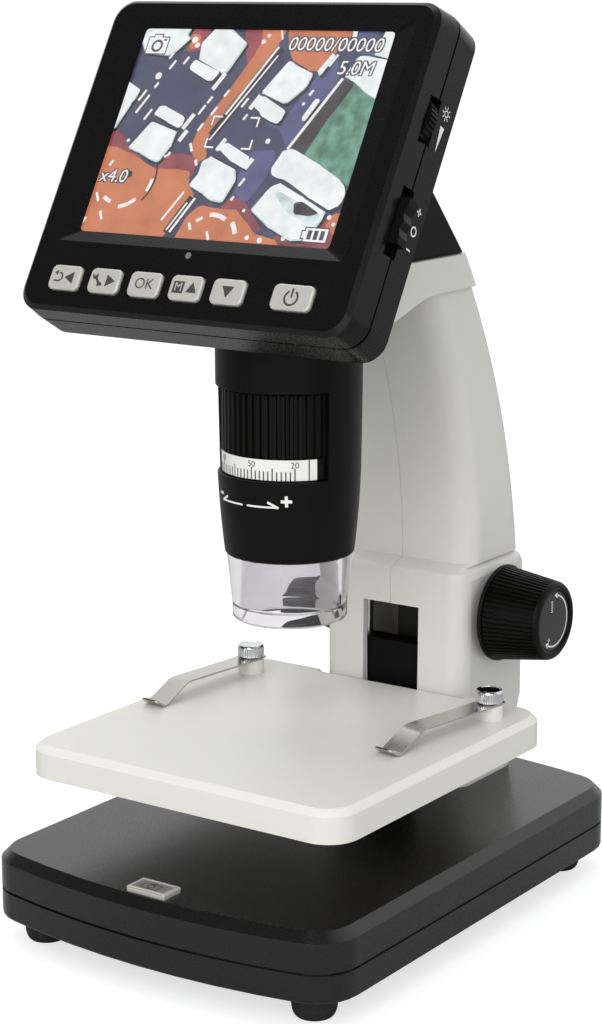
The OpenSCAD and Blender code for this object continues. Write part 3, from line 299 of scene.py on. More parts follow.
def turned(name, rings, sides=96):
    """Turns (radius, height) steps in millimetres round the Z axis, as on a lathe, in their order."""
    weld = 0.004 * MM
    piece = fresh(bpy.ops.mesh.primitive_circle_add, vertices=sides, radius=rings[0][0] * MM,
                  location=(0, 0, 0))
    piece.name = name
    piece.location.z = rings[0][1] * MM
    bpy.ops.object.transform_apply(location=True)
    bpy.ops.object.mode_set(mode="EDIT")
    bpy.ops.mesh.select_mode(type="VERT")
    bpy.ops.mesh.select_all(action="SELECT")
    for (r0, z0), (r1, z1) in zip(rings, rings[1:]):
        extrude(0, 0, (z1 - z0) * MM)
        bpy.ops.transform.resize(value=(r1 / r0, r1 / r0, 1), center_override=(0, 0, z1 * MM))
    bpy.ops.mesh.select_all(action="SELECT")
    bpy.ops.mesh.remove_doubles(threshold=weld)
    return face_outward(piece)


def copies_at(piece, places):
    """Sets the piece at the first place and a copy at each other one, joined as one object."""
    group = [piece]
    for _ in places[1:]:
        activate(piece)
        bpy.ops.object.duplicate()
        group.append(bpy.context.object)
    for one, place in zip(group, places):
        one.location = place
    pick(*group)
    bpy.ops.object.transform_apply(location=True)
    bpy.ops.object.join()
    return piece


def inner_corners(low, high, inset_mm, z):
    """The four places inside the corners of a box by the same distance, at a height."""
    inset = inset_mm * MM
    return [(x, y, z) for x in (low.x + inset, high.x - inset) for y in (low.y + inset, high.y - inset)]


# A profile that closes on the axis ends at this small radius, where its points merge.
AXIS = 0.001
rubber = grained("black_moulded_rubber", "#1a1a1a", 0.75, 0.5, 0.02, IOR=1.52)
feet_low, feet_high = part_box("rubber_feet")
foot_h = feet_high.z / MM
foot_r = 5.4
foot_flat = 3.9
dome = [(foot_flat + (foot_r - foot_flat) * math.sin(a), foot_h / 2 * (1 - math.cos(a)))
        for a in [math.radians(15 * i) for i in range(7)]]
foot = turned("rubber_foot_pads", [(AXIS, 0), (foot_flat * 0.6, 0), *dome, (foot_r, foot_h),
                                   (AXIS, foot_h)], 48)
feet = copies_at(foot, inner_corners(feet_low, feet_high, foot_r, 0))
settle(feet, "stand", rubber, "rubber", "rubber_feet")

# Hidden screws and the steel of the drive
# Zinc-plated pan-head screws hold the shells, and the guide rods and the focus shaft are ground steel.
# Bushes and pinion are machined brass. The rack behind the slot is coloured near-black, which stands in for
# the shade inside the column so that the slot reads dark.
zinc_steel = grained("zinc_plated_steel", "#b4b6b8", 0.32, 0.5, 0.01, Metallic=1.0)
dress(zinc_steel, "column_screws", "collar_screws", "head_screws", "stage_screws")
dress(grained("ground_steel_rod", "#c2c4c6", 0.22, 0.25, 0.005, stretch=(1, 1, 0.1), Metallic=1.0),
      "guide_rods", "focus_shaft")
dress(grained("machined_brass", "#c9a45a", 0.3, 0.3, 0.008, Metallic=1.0), "shaft_bushes", "pinion_gear")
# Painted shade: the rack's near-black colour darkens the slot in front of it.
dress(grained("blackened_brass", "#151412", 0.45, 0.3, 0.008, Metallic=0.6), "focus_rack")


def cross_head(name, radius, height, depth):
    """A pan head with a cross recess, its top at the origin and looking along +Z."""
    cross, half_slot = radius * 0.4, radius * 0.09
    head = turned(name, [(AXIS, -height), (radius, -height), (radius, -height * 0.35),
                         (radius * 0.86, -height * 0.1), (radius * 0.7, 0), (radius * 0.42, 0),
                         (AXIS, 0)], 24)
    choose(head, "polygons", lambda p: p.z > -0.01 * MM and math.hypot(p.x, p.y) < cross * MM
           and min(abs(p.x), abs(p.y)) < half_slot * MM)
    extrude(0, 0, -depth * MM)
    return activate(head)


screws_low, screws_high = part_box("base_screws")
screw_r, head_h, cross_depth = 2.4, 1.3, 0.7
base_heads = cross_head("base_screw_heads", screw_r, head_h, cross_depth)
base_heads.rotation_euler.x = math.pi
bpy.ops.object.transform_apply(rotation=True)
base_heads = copies_at(base_heads, inner_corners(screws_low, screws_high, screw_r, screws_low.z))
settle(base_heads, "stand", zinc_steel, "steel", "base_screws")

# Upper base shell
# The black ABS lid of the base, with a wide soft edge all round, bowed ends, and the opening for the
# snap button at the front. Screws from below hold it.
lid_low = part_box("base_top_shell")[0]
lid_soft = 1.7
lid_edge = 4
lid_side, lid_end = 46, 58
button_half, button_front = 8, -70.6


def by_button(p):
    """Whether a point lies at the button's opening, whose edges stay sharp."""
    return abs(p.x) < button_half * MM and button_front * MM < p.y < 0


base_top = copy_of("base_top_shell", "base_top_cover")
round_edges(base_top, lid_soft, lambda p: p.z > lid_low.z + lid_edge * MM and not by_button(p)
            and (abs(p.x) > lid_side * MM or abs(p.y) > lid_end * MM), segments=5)
round_edges(base_top, base_soft, lambda p: p.z < lid_low.z + 0.1 * MM and on_skirt(p), segments=2)
settle(base_top, "stand", black_abs, "black_plastic", "base_top_shell")

# Snap button
# A silver-painted ABS cap in the front edge of the base, with a raised rounded rim round a darker
# panel and a camera sign. It slides down onto its switch.


def flat_marks(name, material, parts, matrix):
    """Joins flat signs, drawn in millimetres in the XY plane, and sets them on a surface of the object."""
    pick(*parts)
    bpy.ops.object.transform_apply(location=True, rotation=True, scale=True)
    bpy.ops.object.join()
    marks = bpy.context.object
    marks.name = name
    marks.data.transform(matrix @ Matrix.Scale(MM, 4))
    marks.data.materials.clear()
    marks.data.materials.append(material)
    return marks


def plate(x, y, w, h, turn=0):
    """A flat rectangle about (x, y)."""
    piece = fresh(bpy.ops.mesh.primitive_plane_add, size=1, location=(x, y, 0),
                  rotation=(0, 0, math.radians(turn)))
    piece.scale = (w, h, 1)
    return piece


def disc(x, y, r, sides=32, turn=0):
    """A flat disc, or with three sides a pointer whose tip looks along its turn."""
    return fresh(bpy.ops.mesh.primitive_circle_add, vertices=sides, radius=r, fill_type="NGON",
                 location=(x, y, 0), rotation=(0, 0, math.radians(turn - 90)))


def ring(x, y, r, w, start=0, sweep=360, sides=48):
    """A flat ring, or the sweep of one that begins at an angle in degrees."""
    band = turned("ring_mark", [((r - w / 2) / MM, 0), ((r + w / 2) / MM, 0)], sides)
    if sweep < 360:
        choose(band, "polygons",
               lambda p: (math.degrees(math.atan2(p.y, p.x)) - start) % 360 > sweep)
        bpy.ops.mesh.delete(type="FACE")
    activate(band).location = (x, y, 0)
    return band


def words(text, x, y, size, slant=0.0):
    """Generic figures or letters about (x, y), as a flat mesh."""
    label = fresh(bpy.ops.object.text_add, location=(x, y, 0))
    label.data.body = text
    label.data.size = size
    label.data.shear = slant
    label.data.resolution_u = 4
    label.data.align_x = "CENTER"
    label.data.align_y = "CENTER"
    bpy.ops.object.convert(target="MESH")
    return bpy.context.object


def box_at(name, low, high):
    """A block between two corners, as the start of a piece."""
    piece = fresh(bpy.ops.mesh.primitive_cube_add, size=1, location=(Vector(low) + Vector(high)) / 2)
    piece.name = name
    piece.scale = Vector(high) - Vector(low)
    bpy.ops.object.transform_apply(location=True, rotation=True, scale=True)
    return piece


# Silver paint over ABS: a pale grey metallic flake under a satin lacquer.
silver_paint = grained("silver_painted_abs", "#c4c2ba", 0.36, 0.3, 0.006, tint=0.04, patch_mm=2,
                       Metallic=0.3, IOR=1.5)
dark_silver = grained("dark_silver_paint", "#8f8f8c", 0.4, 0.3, 0.006, Metallic=0.4, IOR=1.5)
dark_print = grained("dark_grey_print", "#3f3d36", 0.55, 0.3, 0.004, IOR=1.5)
snap_low, snap_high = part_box("snap_button")
snap_half = 5.6 * MM
snap_rim = 0.8 * MM
snap_soft = 0.45
cap_depth, panel_drop = 2.4 * MM, 0.25 * MM
neck_back, neck_up, neck_top = 1.5 * MM, 0.8 * MM, 2.3 * MM
hair = 0.1 * MM
snap_front, snap_back = snap_low.y, snap_high.y
snap_cap = box_at("snap_button_cap", (-snap_half, snap_front, snap_high.z - cap_depth),
                  (snap_half, snap_back, snap_high.z))
choose(snap_cap, "polygons", lambda p: p.z > snap_high.z - hair)
bpy.ops.mesh.inset(thickness=snap_rim)
extrude(0, 0, -panel_drop)
round_edges(snap_cap, snap_soft, lambda p: abs(p.x) > snap_half - hair or p.y < snap_front + hair
            or p.y > snap_back - hair, segments=4)
snap_cap.data.materials.append(silver_paint)
snap_cap.data.materials.append(dark_silver)
for face in snap_cap.data.polygons:
    at = face.center
    inner = abs(at.x) < snap_half - snap_rim * 0.9 and abs(at.z - snap_high.z + panel_drop) < hair / 2
    face.material_index = 1 if inner else 0
snap_neck = box_at("snap_neck", (-snap_half, snap_front + neck_back, snap_low.z + neck_up),
                   (snap_half, snap_back, snap_high.z - neck_top))
snap_neck.data.materials.append(dark_silver)
snap_on = Matrix.Translation((0, (snap_front + snap_back) / 2, snap_high.z - 0.22 * MM))
snap_sign = flat_marks("snap_sign", dark_print, [
    plate(-0.6, 1.15, 5.0, 0.35), plate(-0.6, -1.5, 5.0, 0.35), plate(-3.0, -0.15, 0.35, 2.8),
    plate(1.8, -0.15, 0.35, 2.8), plate(-0.6, 1.5, 1.6, 0.5), ring(-0.6, -0.15, 0.85, 0.35)], snap_on)
merge(snap_cap, snap_neck, snap_sign)
settle(snap_cap, "snap_key", silver_paint, "silver_key", "snap_button")

# Stage carriage
# A black moulded slide on the two guide rods inside the column. Its tongue comes out through the
# front slot and carries the stage.
dress(grained("black_moulded_slide", "#0b0b0b", 0.6, 0.5, 0.01, IOR=1.5, Specular_IOR_Level=0.1),
      "stage_carriage")

# Column and arm
# Two ivory white ABS half shells, screwed together along a fine seam in the middle. A square column with
# soft corners runs on over a shoulder into the arm that leans forward; the front slot shows the dark inside.
column_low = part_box("column_right_shell")[0]
# Ivory ABS: slightly warm, satin, with a barely visible grain that is drawn coarser than it is.
ivory_abs = grained("ivory_moulded_abs", "#d6d5ce", 0.4, 0.6, 0.006, tint=0.012, IOR=1.54)
seam_soft, slot_soft = 0.22, 0.3
seam_depth, seam_back = 30, 31.5
slot_half, column_back, shoulder_z = 7, 38.1, 75
for side in ("right", "left"):
    shell = copy_of(f"column_{side}_shell", f"column_{side}_half")
    round_edges(shell, seam_soft, lambda p: abs(p.x) < 0.05 * MM
                and (p.y < column_low.y + seam_depth * MM or p.y > seam_back * MM), segments=2)
    round_edges(shell, slot_soft, lambda p: abs(p.x) > slot_half * MM and p.y < column_back * MM
                and p.z < shoulder_z * MM, segments=2, sharp=50)
    settle(shell, "stand", ivory_abs, "white_plastic", f"column_{side}_shell", crease=40)

# Focus knobs
# Black ABS knobs pressed on the shaft's ends: a thin flange next to the column, a tapering ribbed grip,
# a rounded rim and a recess for the end disc.
knob_low, knob_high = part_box("knob_right")
knob_l = (knob_high.x - knob_low.x) / MM
knob_r = (knob_high.z - knob_low.z) / 2 / MM
knob_end_r = 10.4
rim_r = knob_end_r - 0.4
disc_r = 8.0
knob_ribs = 58
rib_depth = 0.45
rib_from, rib_to = 1.5, knob_l - 1.3
spindle = Vector((0, (knob_low.y + knob_high.y) / 2, (knob_low.z + knob_high.z) / 2))
grip_black = grained("black_grip_abs", "#0a0a09", 0.36, 0.4, 0.008, IOR=1.52, Specular_IOR_Level=0.13)


def grip_r(z):
    """Outer radius of the tapering grip at a height above the flange."""
    start, end = knob_r - 0.45, rim_r + 0.35
    return start + (end - start) * (z - rib_from) / (rib_to - rib_from)


def groove(piece, ribs, depth, low, high, share=0.42):
    """Draws in the vertices between ribs, between two heights in millimetres."""

    def in_groove(p):
        """Whether a point lies in the band of the ribs and between two of them."""
        part = (math.degrees(math.atan2(p.y, p.x)) * ribs / 360 + 0.01) % 1
        return low - 0.01 < p.z / MM < high + 0.01 and math.hypot(p.x, p.y) > 4 * depth * MM and part < share

    choose(piece, "vertices", in_groove)
    bpy.ops.object.mode_set(mode="OBJECT")
    for point in piece.data.vertices:
        if point.select:
            reach = math.hypot(point.co.x, point.co.y)
            point.co.xy = point.co.xy * ((reach - depth * MM) / reach)


for side, turn in (("right", 1), ("left", -1)):
    knob = turned(f"focus_knob_{side}", [
        (2.5, 0), (knob_r - 0.25, 0), (knob_r, 0.25), (knob_r, 0.85), (knob_r - 0.2, 1.05),
        (grip_r(rib_from) - 0.5, 1.15), (grip_r(rib_from) - 0.5, rib_from - 0.1),
        (grip_r(rib_from), rib_from), (grip_r(6), 6), (grip_r(11), 11), (grip_r(rib_to), rib_to),
        (rim_r + 0.3, rib_to + 0.25), (rim_r + 0.15, knob_l - 0.75), (rim_r - 0.05, knob_l - 0.45),
        (rim_r - 0.45, knob_l - 0.15), (rim_r - 0.9, knob_l), (disc_r + 0.3, knob_l), (disc_r, knob_l - 0.3),
        (disc_r, knob_l - 1.7), (2.5, knob_l - 1.7), (2.5, 0)], knob_ribs * 8)
    groove(knob, knob_ribs, rib_depth, rib_from, rib_to)
    knob.rotation_euler.y = math.radians(90 * turn)
    knob.location = spindle + Vector((knob_low.x * turn, 0, 0))
    settle(knob, "focus_spindle", grip_black, "barrel_black", f"knob_{side}", crease=50)

# Knob discs
# Glossy black discs glued into the knob ends, with a white printed arrow that shows both ways of turning.
gloss_black = grained("glossy_black_abs", "#101010", 0.14, 2.0, 0.003, IOR=1.54)
white_ink = grained("white_pad_print", "#e9e9e6", 0.5, 0.3, 0.003, IOR=1.5)
cap_low, cap_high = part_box("knob_cap_right")
cap_t = (cap_high.x - cap_low.x) / MM
arrow_r = 6.7
arrow_from, arrow_to = -118, 78
for side, turn in (("right", 1), ("left", -1)):
    cap = turned(f"knob_disc_{side}", [(AXIS, 0), (disc_r - 0.02, 0), (disc_r - 0.02, cap_t - 0.25),
                                       (disc_r - 0.25, cap_t - 0.05), (disc_r - 0.7, cap_t),
                                       (AXIS, cap_t)], 96)
    cap.data.materials.append(gloss_black)
    arrow = flat_marks("arrow", white_ink, [
        ring(0, 0, arrow_r, 0.4, start=arrow_from, sweep=arrow_to - arrow_from),
        *[disc(arrow_r * math.cos(math.radians(a)), arrow_r * math.sin(math.radians(a)), 0.95, 3, a + way)
          for a, way in ((arrow_to + 3, 90), (arrow_from - 3, -90))],
        *[plate(-1.2, 2.6 + 0.55 * i, 0.8, 0.25) for i in range(6)], plate(-2.6, -4.6, 1.1, 0.3),
        plate(-2.6, -4.6, 0.3, 1.1)],
        Matrix.Translation((0, 0, (cap_t + 0.02) * MM)))
    merge(cap, arrow)
    cap.rotation_euler = (math.radians(90), 0, math.radians(90 * turn))
    cap.location = spindle + Vector((cap_low.x * turn, 0, 0))
    settle(cap, "focus_spindle", gloss_black, "knob_disc", f"knob_cap_{side}")

# Stage plate
# A thick ivory ABS plate with rounded corners and a soft top edge, ribbed underneath, with two short
# bosses for the clips. It is screwed to the carriage's tongue from below.
stage_abs = grained("ivory_stage_abs", "#dddcd4", 0.36, 0.6, 0.005, tint=0.01, IOR=1.54)
stage_low, stage_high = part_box("stage_plate")
stage_t = 8
stage_top = stage_low.z + stage_t * MM
stage_soft, boss_soft = 1.9, 0.35
edge_depth = 3.5
stage_side, stage_front, stage_back, notch_half = 44, -54.5, 33.5, 24
stage = copy_of("stage_plate", "stage_table")
round_edges(stage, stage_soft, lambda p: stage_top - edge_depth * MM < p.z < stage_top + 0.05 * MM
            and (abs(p.x) > stage_side * MM or p.y < stage_front * MM
                 or (p.y > stage_back * MM and abs(p.x) > notch_half * MM)), segments=5)
round_edges(stage, boss_soft, lambda p: p.z > stage_high.z - 0.1 * MM)
settle(stage, "stage", stage_abs, "white_plastic", "stage_plate")

# Clip screws
# Chromed brass caps with a knurled side and a mirror-flat top, on pins that the clips turn round.
chrome = grained("polished_chrome", "#d9dbde", 0.05, 1.5, 0.001, tint=0.01, Metallic=1.0)
cap_screw_low, cap_screw_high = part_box("clip_screws")
cap_h = 3.3
cap_rr = (cap_screw_high.y - cap_screw_low.y) / 2 / MM
cap_x = cap_screw_high.x - cap_rr * MM
cap_y = (cap_screw_low.y + cap_screw_high.y) / 2
knurls = 44
knurl_depth = 0.16
pin_r = 1.5
pin_top = cap_screw_high.z / MM - cap_h
screw_cap = turned("clip_screw_caps", [
    (AXIS, cap_screw_low.z / MM), (pin_r, cap_screw_low.z / MM), (pin_r, pin_top), (cap_rr - 0.3, pin_top),
    (cap_rr, pin_top + 0.3), (cap_rr, pin_top + 0.7), (cap_rr, pin_top + 2.4), (cap_rr, pin_top + 2.7),
    (cap_rr - 0.15, pin_top + 3.1), (cap_rr - 0.35, pin_top + cap_h), (cap_rr - 0.6, pin_top + cap_h - 0.05),
    (cap_rr - 0.7, pin_top + cap_h - 0.15), (cap_rr - 0.85, pin_top + cap_h - 0.2),
    (AXIS, pin_top + cap_h - 0.2)], knurls * 4)
groove(screw_cap, knurls, knurl_depth, pin_top + 0.7, pin_top + 2.4, share=0.5)
screw_caps = copies_at(screw_cap, [(cap_x, cap_y, 0), (-cap_x, cap_y, 0)])
settle(screw_caps, "stage", chrome, "chrome", "clip_screws", crease=40)

# Specimen clips
# Strips of polished spring steel that turn round their screws: flat, bent down to the stage and turned up
# at the tip so that a specimen slides under.
spring_steel = grained("polished_spring_steel", "#c0beb7", 0.22, 0.22, 0.0004, tint=0.04, patch_mm=6,
                       stretch=(1, 0.08, 1), Metallic=1.0)
clip_w = 6.2
clip_t = 0.5
clip_corner, clip_rear, clip_tip = 1.6, 3, -41
clip_z = cap_screw_high.z / MM - cap_h - clip_t - 0.05
touch_z = stage_top / MM + 0.05
clip_line = [(-3.4, clip_z), (-2.4, clip_z), (0, clip_z), (7, clip_z), (26, clip_z + 0.5),
             (28.5, clip_z + 0.55), (30.2, clip_z + 0.3), (31.4, clip_z - 0.3), (36.4, touch_z + 0.95),
             (37.6, touch_z + 0.25), (38.5, touch_z), (39.4, touch_z + 0.2), (40.1, touch_z + 0.65),
             (41.8, touch_z + 1.9)]
for side, turn, lean in (("right", 1, -7), ("left", -1, -2.5)):
    clip = fresh(bpy.ops.mesh.primitive_plane_add, size=1, location=(0, 0, 0))
    clip.name = f"specimen_clip_{side}"
    clip.scale = (clip_w * MM, 1 * MM, 1)
    clip.location = (0, (3.4 - 0.5) * MM, clip_z * MM)
    bpy.ops.object.transform_apply(location=True, scale=True)
    choose(clip, "edges", lambda p: p.y < 2.41 * MM)
    for (s0, z_from), (s1, z_to) in zip(clip_line[1:], clip_line[2:]):
        extrude(0, (s0 - s1) * MM, (z_to - z_from) * MM)
    choose(clip, "vertices", lambda p: abs(p.x) > clip_w * 0.4 * MM
           and (p.y > clip_rear * MM or p.y < clip_tip * MM))
    bpy.ops.mesh.bevel(offset=clip_corner * MM, segments=5, affect="VERTICES")
    modify(clip, "SOLIDIFY", thickness=clip_t * MM, offset=1)
    face_outward(clip)
    round_edges(clip, 0.1, sharp=60, segments=2)
    clip.rotation_euler.z = math.radians(lean)
    clip.location = (cap_x * turn, cap_y, 0)
    settle(clip, f"{side}_clip", spring_steel, "clip_steel", f"clip_{side}", crease=40)

# Arm collar
# An ivory ABS hood over the arm's top, which sweeps down in an S-curve and wraps the back of the tube.
# Screws under its roof hold it to the head.
collar_side, collar_back, collar_front = 14, 31.5, -18.5
collar = copy_of("arm_collar", "arm_hood")
round_edges(collar, 0.5, lambda p: abs(p.x) > collar_side * MM or p.y > collar_back * MM
            or p.y < collar_front * MM, sharp=40)
settle(collar, "stand", ivory_abs, "white_plastic", "arm_collar", crease=40)

# Tube barrel
# A black ABS tube with a soft-touch finish that narrows to its lower end. A window at the front opens on the
# zoom ring, and white signs below it show which way to turn.
barrel_low, barrel_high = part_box("barrel")
tube_y = (barrel_low.y + barrel_high.y) / 2
tube_r = (barrel_high.x - barrel_low.x) / 2 / MM
z0, z_top = barrel_low.z / MM, barrel_high.z / MM
ring_low, ring_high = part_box("zoom_ring")
win_low, win_high = ring_low.z / MM - 0.3, ring_high.z / MM + 0.3
win_r = tube_r * 0.98
end_r = 15.8
bore_r, chamber_r, seat_r = 14.0, 16.5, 13.6
half_window = 67.5
soft_black = grained("soft_touch_black_abs", "#0b0a0a", 0.4, 0.5, 0.008, tint=0.06, IOR=1.5,
                     Specular_IOR_Level=0.12)


def round_tube(p):
    """Angle of a point round the tube, from its front to the right, in degrees."""
    return math.degrees(math.atan2(p.x, -p.y))


def taper(z):
    """Outer radius of the barrel below its window."""
    t = (z - z0) / (win_low - z0)
    return end_r + (win_r - end_r) * (1.5 * t - 0.5 * t * t)


barrel = turned("tube_barrel", [
    (seat_r, z0), (end_r - 0.5, z0), (end_r - 0.15, z0 + 0.15), (taper(z0 + 0.5), z0 + 0.5),
    *[(taper(z), z) for z in (z0 + 4, z0 + 8, z0 + 12, z0 + 16)], (win_r, win_low),
    (win_r * 0.5 + tube_r * 0.5, (win_low + win_high) / 2), (tube_r, win_high), (tube_r, z_top),
    (bore_r, z_top), (bore_r, win_high + 0.3), (chamber_r, win_high + 0.3), (chamber_r, win_high),
    (chamber_r, (win_low + win_high) / 2), (chamber_r, win_low), (chamber_r, win_low - 0.3),
    (bore_r, win_low - 0.3), (bore_r, z0 + 6.4), (seat_r - 2, z0 + 6.4), (seat_r - 2, z0 + 4.9),
    (seat_r, z0 + 4.9), (seat_r, z0)], 144)
choose(barrel, "polygons", lambda p: win_low < p.z / MM < win_high and math.hypot(p.x, p.y) > 16 * MM
       and abs(round_tube(p)) < half_window)
bpy.ops.mesh.delete(type="FACE")
bpy.ops.mesh.select_mode(type="EDGE")
bpy.ops.mesh.select_non_manifold()
bpy.ops.mesh.bridge_edge_loops()
face_outward(barrel)
round_edges(barrel, 0.3, lambda p: win_low - 0.1 < p.z / MM < win_high + 0.1
            and math.hypot(p.x, p.y) > 17.2 * MM and abs(round_tube(p)) < half_window + 1,
            segments=2, sharp=50)
barrel.location.y = tube_y
settle(barrel, "stand", soft_black, "barrel_black", "barrel", crease=38)


def wrap(marks, radius, height):
    """Wraps flat marks, drawn about the front of the tube in metres, round it at a radius in millimetres."""
    for point in marks.data.vertices:
        r = (radius(height + point.co.y / MM) if callable(radius) else radius) + 0.03
        a = point.co.x / (r * MM)
        point.co = (r * MM * math.sin(a), tube_y - r * MM * math.cos(a), height * MM + point.co.y)
    return marks


zoom_z = z0 + 14.5
zoom_signs = flat_marks("zoom_direction_print", white_ink, [
    plate(-10.3, 1.35, 2.0, 0.6), plate(-5.7, -0.2, 8.2, 0.45), plate(-8.4, 0.35, 3.0, 0.6, 28),
    plate(3.8, -0.2, 8.2, 0.45), plate(6.6, 0.35, 3.0, 0.6, -28), plate(9.9, 1.3, 2.7, 0.75),
    plate(9.9, 1.3, 0.75, 2.7)], Matrix())
select_whole(zoom_signs)
bpy.ops.mesh.subdivide(number_cuts=5)
activate(zoom_signs)
wrap(zoom_signs, taper, zoom_z)
settle(zoom_signs, "stand", white_ink, "white_print")

# Zoom ring and its scale
# A black ABS ring with upright ribs that a finger turns through the window. Round its foot runs a white
# band printed with a zoom scale.
ring_r = (ring_high.x - ring_low.x) / 2 / MM
band_low, band_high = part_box("scale_band")
band_h = (band_high.z - band_low.z) / MM
ring_z0, ring_z1 = ring_low.z / MM, ring_high.z / MM
ring_bore = 12.05
band_t = 0.3
zoom_ribs, zoom_rib_depth = 50, 0.6
band_r, band_z1 = ring_r - band_t, ring_z0 + band_h
zoom_ring = turned("zoom_grip_ring", [
    (ring_bore, ring_z0), (band_r, ring_z0), (band_r, band_z1), (ring_r, band_z1 + 0.05),
    (ring_r, band_z1 + 0.4), (ring_r, ring_z1 - 0.3), (ring_r - 0.3, ring_z1), (ring_bore, ring_z1),
    (ring_bore, ring_z0)], zoom_ribs * 8)
groove(zoom_ring, zoom_ribs, zoom_rib_depth, band_z1 + 0.3, ring_z1 - 0.2, share=0.4)
zoom_ring.location.y = tube_y
settle(zoom_ring, "zoom_dial", grip_black, "barrel_black", "zoom_ring", crease=40)

band_from, band_to = -160, 59
band_play = 0.02
band = turned("zoom_scale_band", [
    (band_r, ring_z0 + band_play), (ring_r, ring_z0 + band_play), (ring_r, band_z1 - band_play),
    (band_r, band_z1 - band_play), (band_r, ring_z0 + band_play)], 360)
choose(band, "polygons", lambda p: not band_from < round_tube(p) < band_to)
bpy.ops.mesh.delete(type="FACE")
bpy.ops.mesh.select_mode(type="EDGE")
bpy.ops.mesh.select_non_manifold()
bpy.ops.mesh.edge_face_add()
activate(band).location.y = tube_y
bpy.ops.object.transform_apply(location=True)
white_band = grained("white_scale_print", "#e9e9e4", 0.42, 0.4, 0.004, tint=0.02, IOR=1.5)
black_ink = grained("black_scale_print", "#1a1a1a", 0.5, 0.3, 0.003, IOR=1.5)
band.data.materials.append(white_band)
per_degree = math.radians(1) * ring_r
tick_zero, tick_step = 2, 3.8
ticks = []
for i in range(-41, 11):
    tick_h = 2.2 if i % 5 else 3.0
    ticks.append(plate((tick_zero + tick_step * i) * per_degree, -band_h / 2 + tick_h / 2, 0.3, tick_h))
figures = [words(str(20 + 30 * i), (40 - 38 * i) * per_degree, 1.2, 2.1) for i in range(4, -1, -1)]
end_line = [plate(52 * per_degree, 0, 0.3, band_h - 0.1)]
scale = flat_marks("scale_figures", black_ink, ticks + figures + end_line, Matrix())
wrap(scale, ring_r, ring_z0 + band_h / 2)
merge(band, scale)
settle(band, "zoom_dial", white_band, "white_print", "scale_band")

# Optics inside the tube
# A dark lens carrier with a coated glass lens, the sensor's board on the barrel's rim and a ring of
# white lights above the nosepiece.
dress(grained("black_anodised_carrier", "#202226", 0.5, 0.3, 0.006, Metallic=0.6), "lens_carrier")
dress(grained("coated_lens_glass", "#e8f2f6", 0.03, 2.0, 0.0005, tint=0.01, Transmission_Weight=1.0, IOR=1.6),
      "objective_lens")
dress(solder_mask, "sensor_board")
dress(grained("white_light_board", "#e9e8df", 0.45, 0.8, 0.01, IOR=1.5), "led_ring")

# Nosepiece
# A clear acrylic cone pushed into the barrel, polished, with a thick rounded foot that gathers the light.
nose_low, nose_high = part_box("nosepiece")
nose_z, spigot_z = nose_low.z / MM, nose_high.z / MM
nose_r = 14.1
nose_top_r = end_r - 0.4
nose_wall = 2.0
clear_acrylic = grained("polished_clear_acrylic", "#dbd9dc", 0.015, 6.0, 0.0008, tint=0.004,
                        Transmission_Weight=1.0, IOR=1.49)
foot_bore = nose_r - nose_wall
nose = turned("clear_nosepiece", [
    (foot_bore - 0.6, nose_z + 0.3), (foot_bore - 0.3, nose_z), (nose_r - 0.9, nose_z),
    (nose_r - 0.35, nose_z + 0.25), (nose_r, nose_z + 0.9), (nose_r, nose_z + 3.6),
    (nose_r + 0.1, nose_z + 4.4), (nose_top_r, z0 - 0.05), (seat_r - 0.02, z0 - 0.05),
    (seat_r - 0.02, spigot_z), (seat_r - nose_wall, spigot_z), (seat_r - nose_wall, z0 - 1.2),
    (foot_bore, nose_z + 4.2), (foot_bore - 0.3, nose_z + 3.5), (foot_bore - 0.6, nose_z + 3.0),
    (foot_bore - 0.6, nose_z + 0.3)], 160)
nose.location.y = tube_y
settle(nose, "stand", clear_acrylic, "clear_plastic", "nosepiece", crease=45)

# Head housing
# The black ABS wedge between the collar and the monitor, with soft edges, screwed on from inside.
wedge_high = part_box("head_housing")[1]
wedge_side, wedge_edge = 19.5, 1
wedge = copy_of("head_housing", "head_wedge")
round_edges(wedge, 0.8, lambda p: abs(p.x) > wedge_side * MM or p.z > wedge_high.z - wedge_edge * MM
            or p.y > wedge_high.y - wedge_edge * MM, sharp=35)
settle(wedge, "stand", soft_black, "black_plastic", "head_housing")

# Monitor shells
# Two black ABS shells screwed together from behind, with a dark seam all round. The front one frames the
# screen and the keys; both leave room for the wheel and the lever on the right and the sockets on the left.
normal = Vector(next(j["axis"] for j in frame["joints"] if j["name"] == "wheel_turn")).normalized()
upward = Vector((0, normal.z, -normal.y))
across = Vector((1, 0, 0))
pane_low, pane_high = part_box("screen_window")
pane_t = 1.0
middle = (pane_low + pane_high) / 2 + normal * (pane_t / 2 - 0.2) * MM


def on_screen(x=0, u=0, n=0):
    """Places flat marks on the monitor's front: across, up the screen and out of it, in millimetres."""
    turn = Matrix((across, upward, normal)).transposed().to_4x4()
    return Matrix.Translation(middle + (across * x + upward * u + normal * n) * MM) @ turn


def local(p):
    """A point as (across, up, out) from the middle of the screen's plane, in millimetres."""
    d = (p - middle) / MM
    return d.x, d.dot(upward), d.dot(normal)


half_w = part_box("monitor_front_shell")[1].x / MM
top_u, bottom_u = 34.5, -47.0


def near_outline(p, reach=4.5):
    """Whether a point lies close to the monitor's outline."""
    x, u, _ = local(p)
    return abs(x) > half_w - reach or u > top_u - reach or u < bottom_u + reach


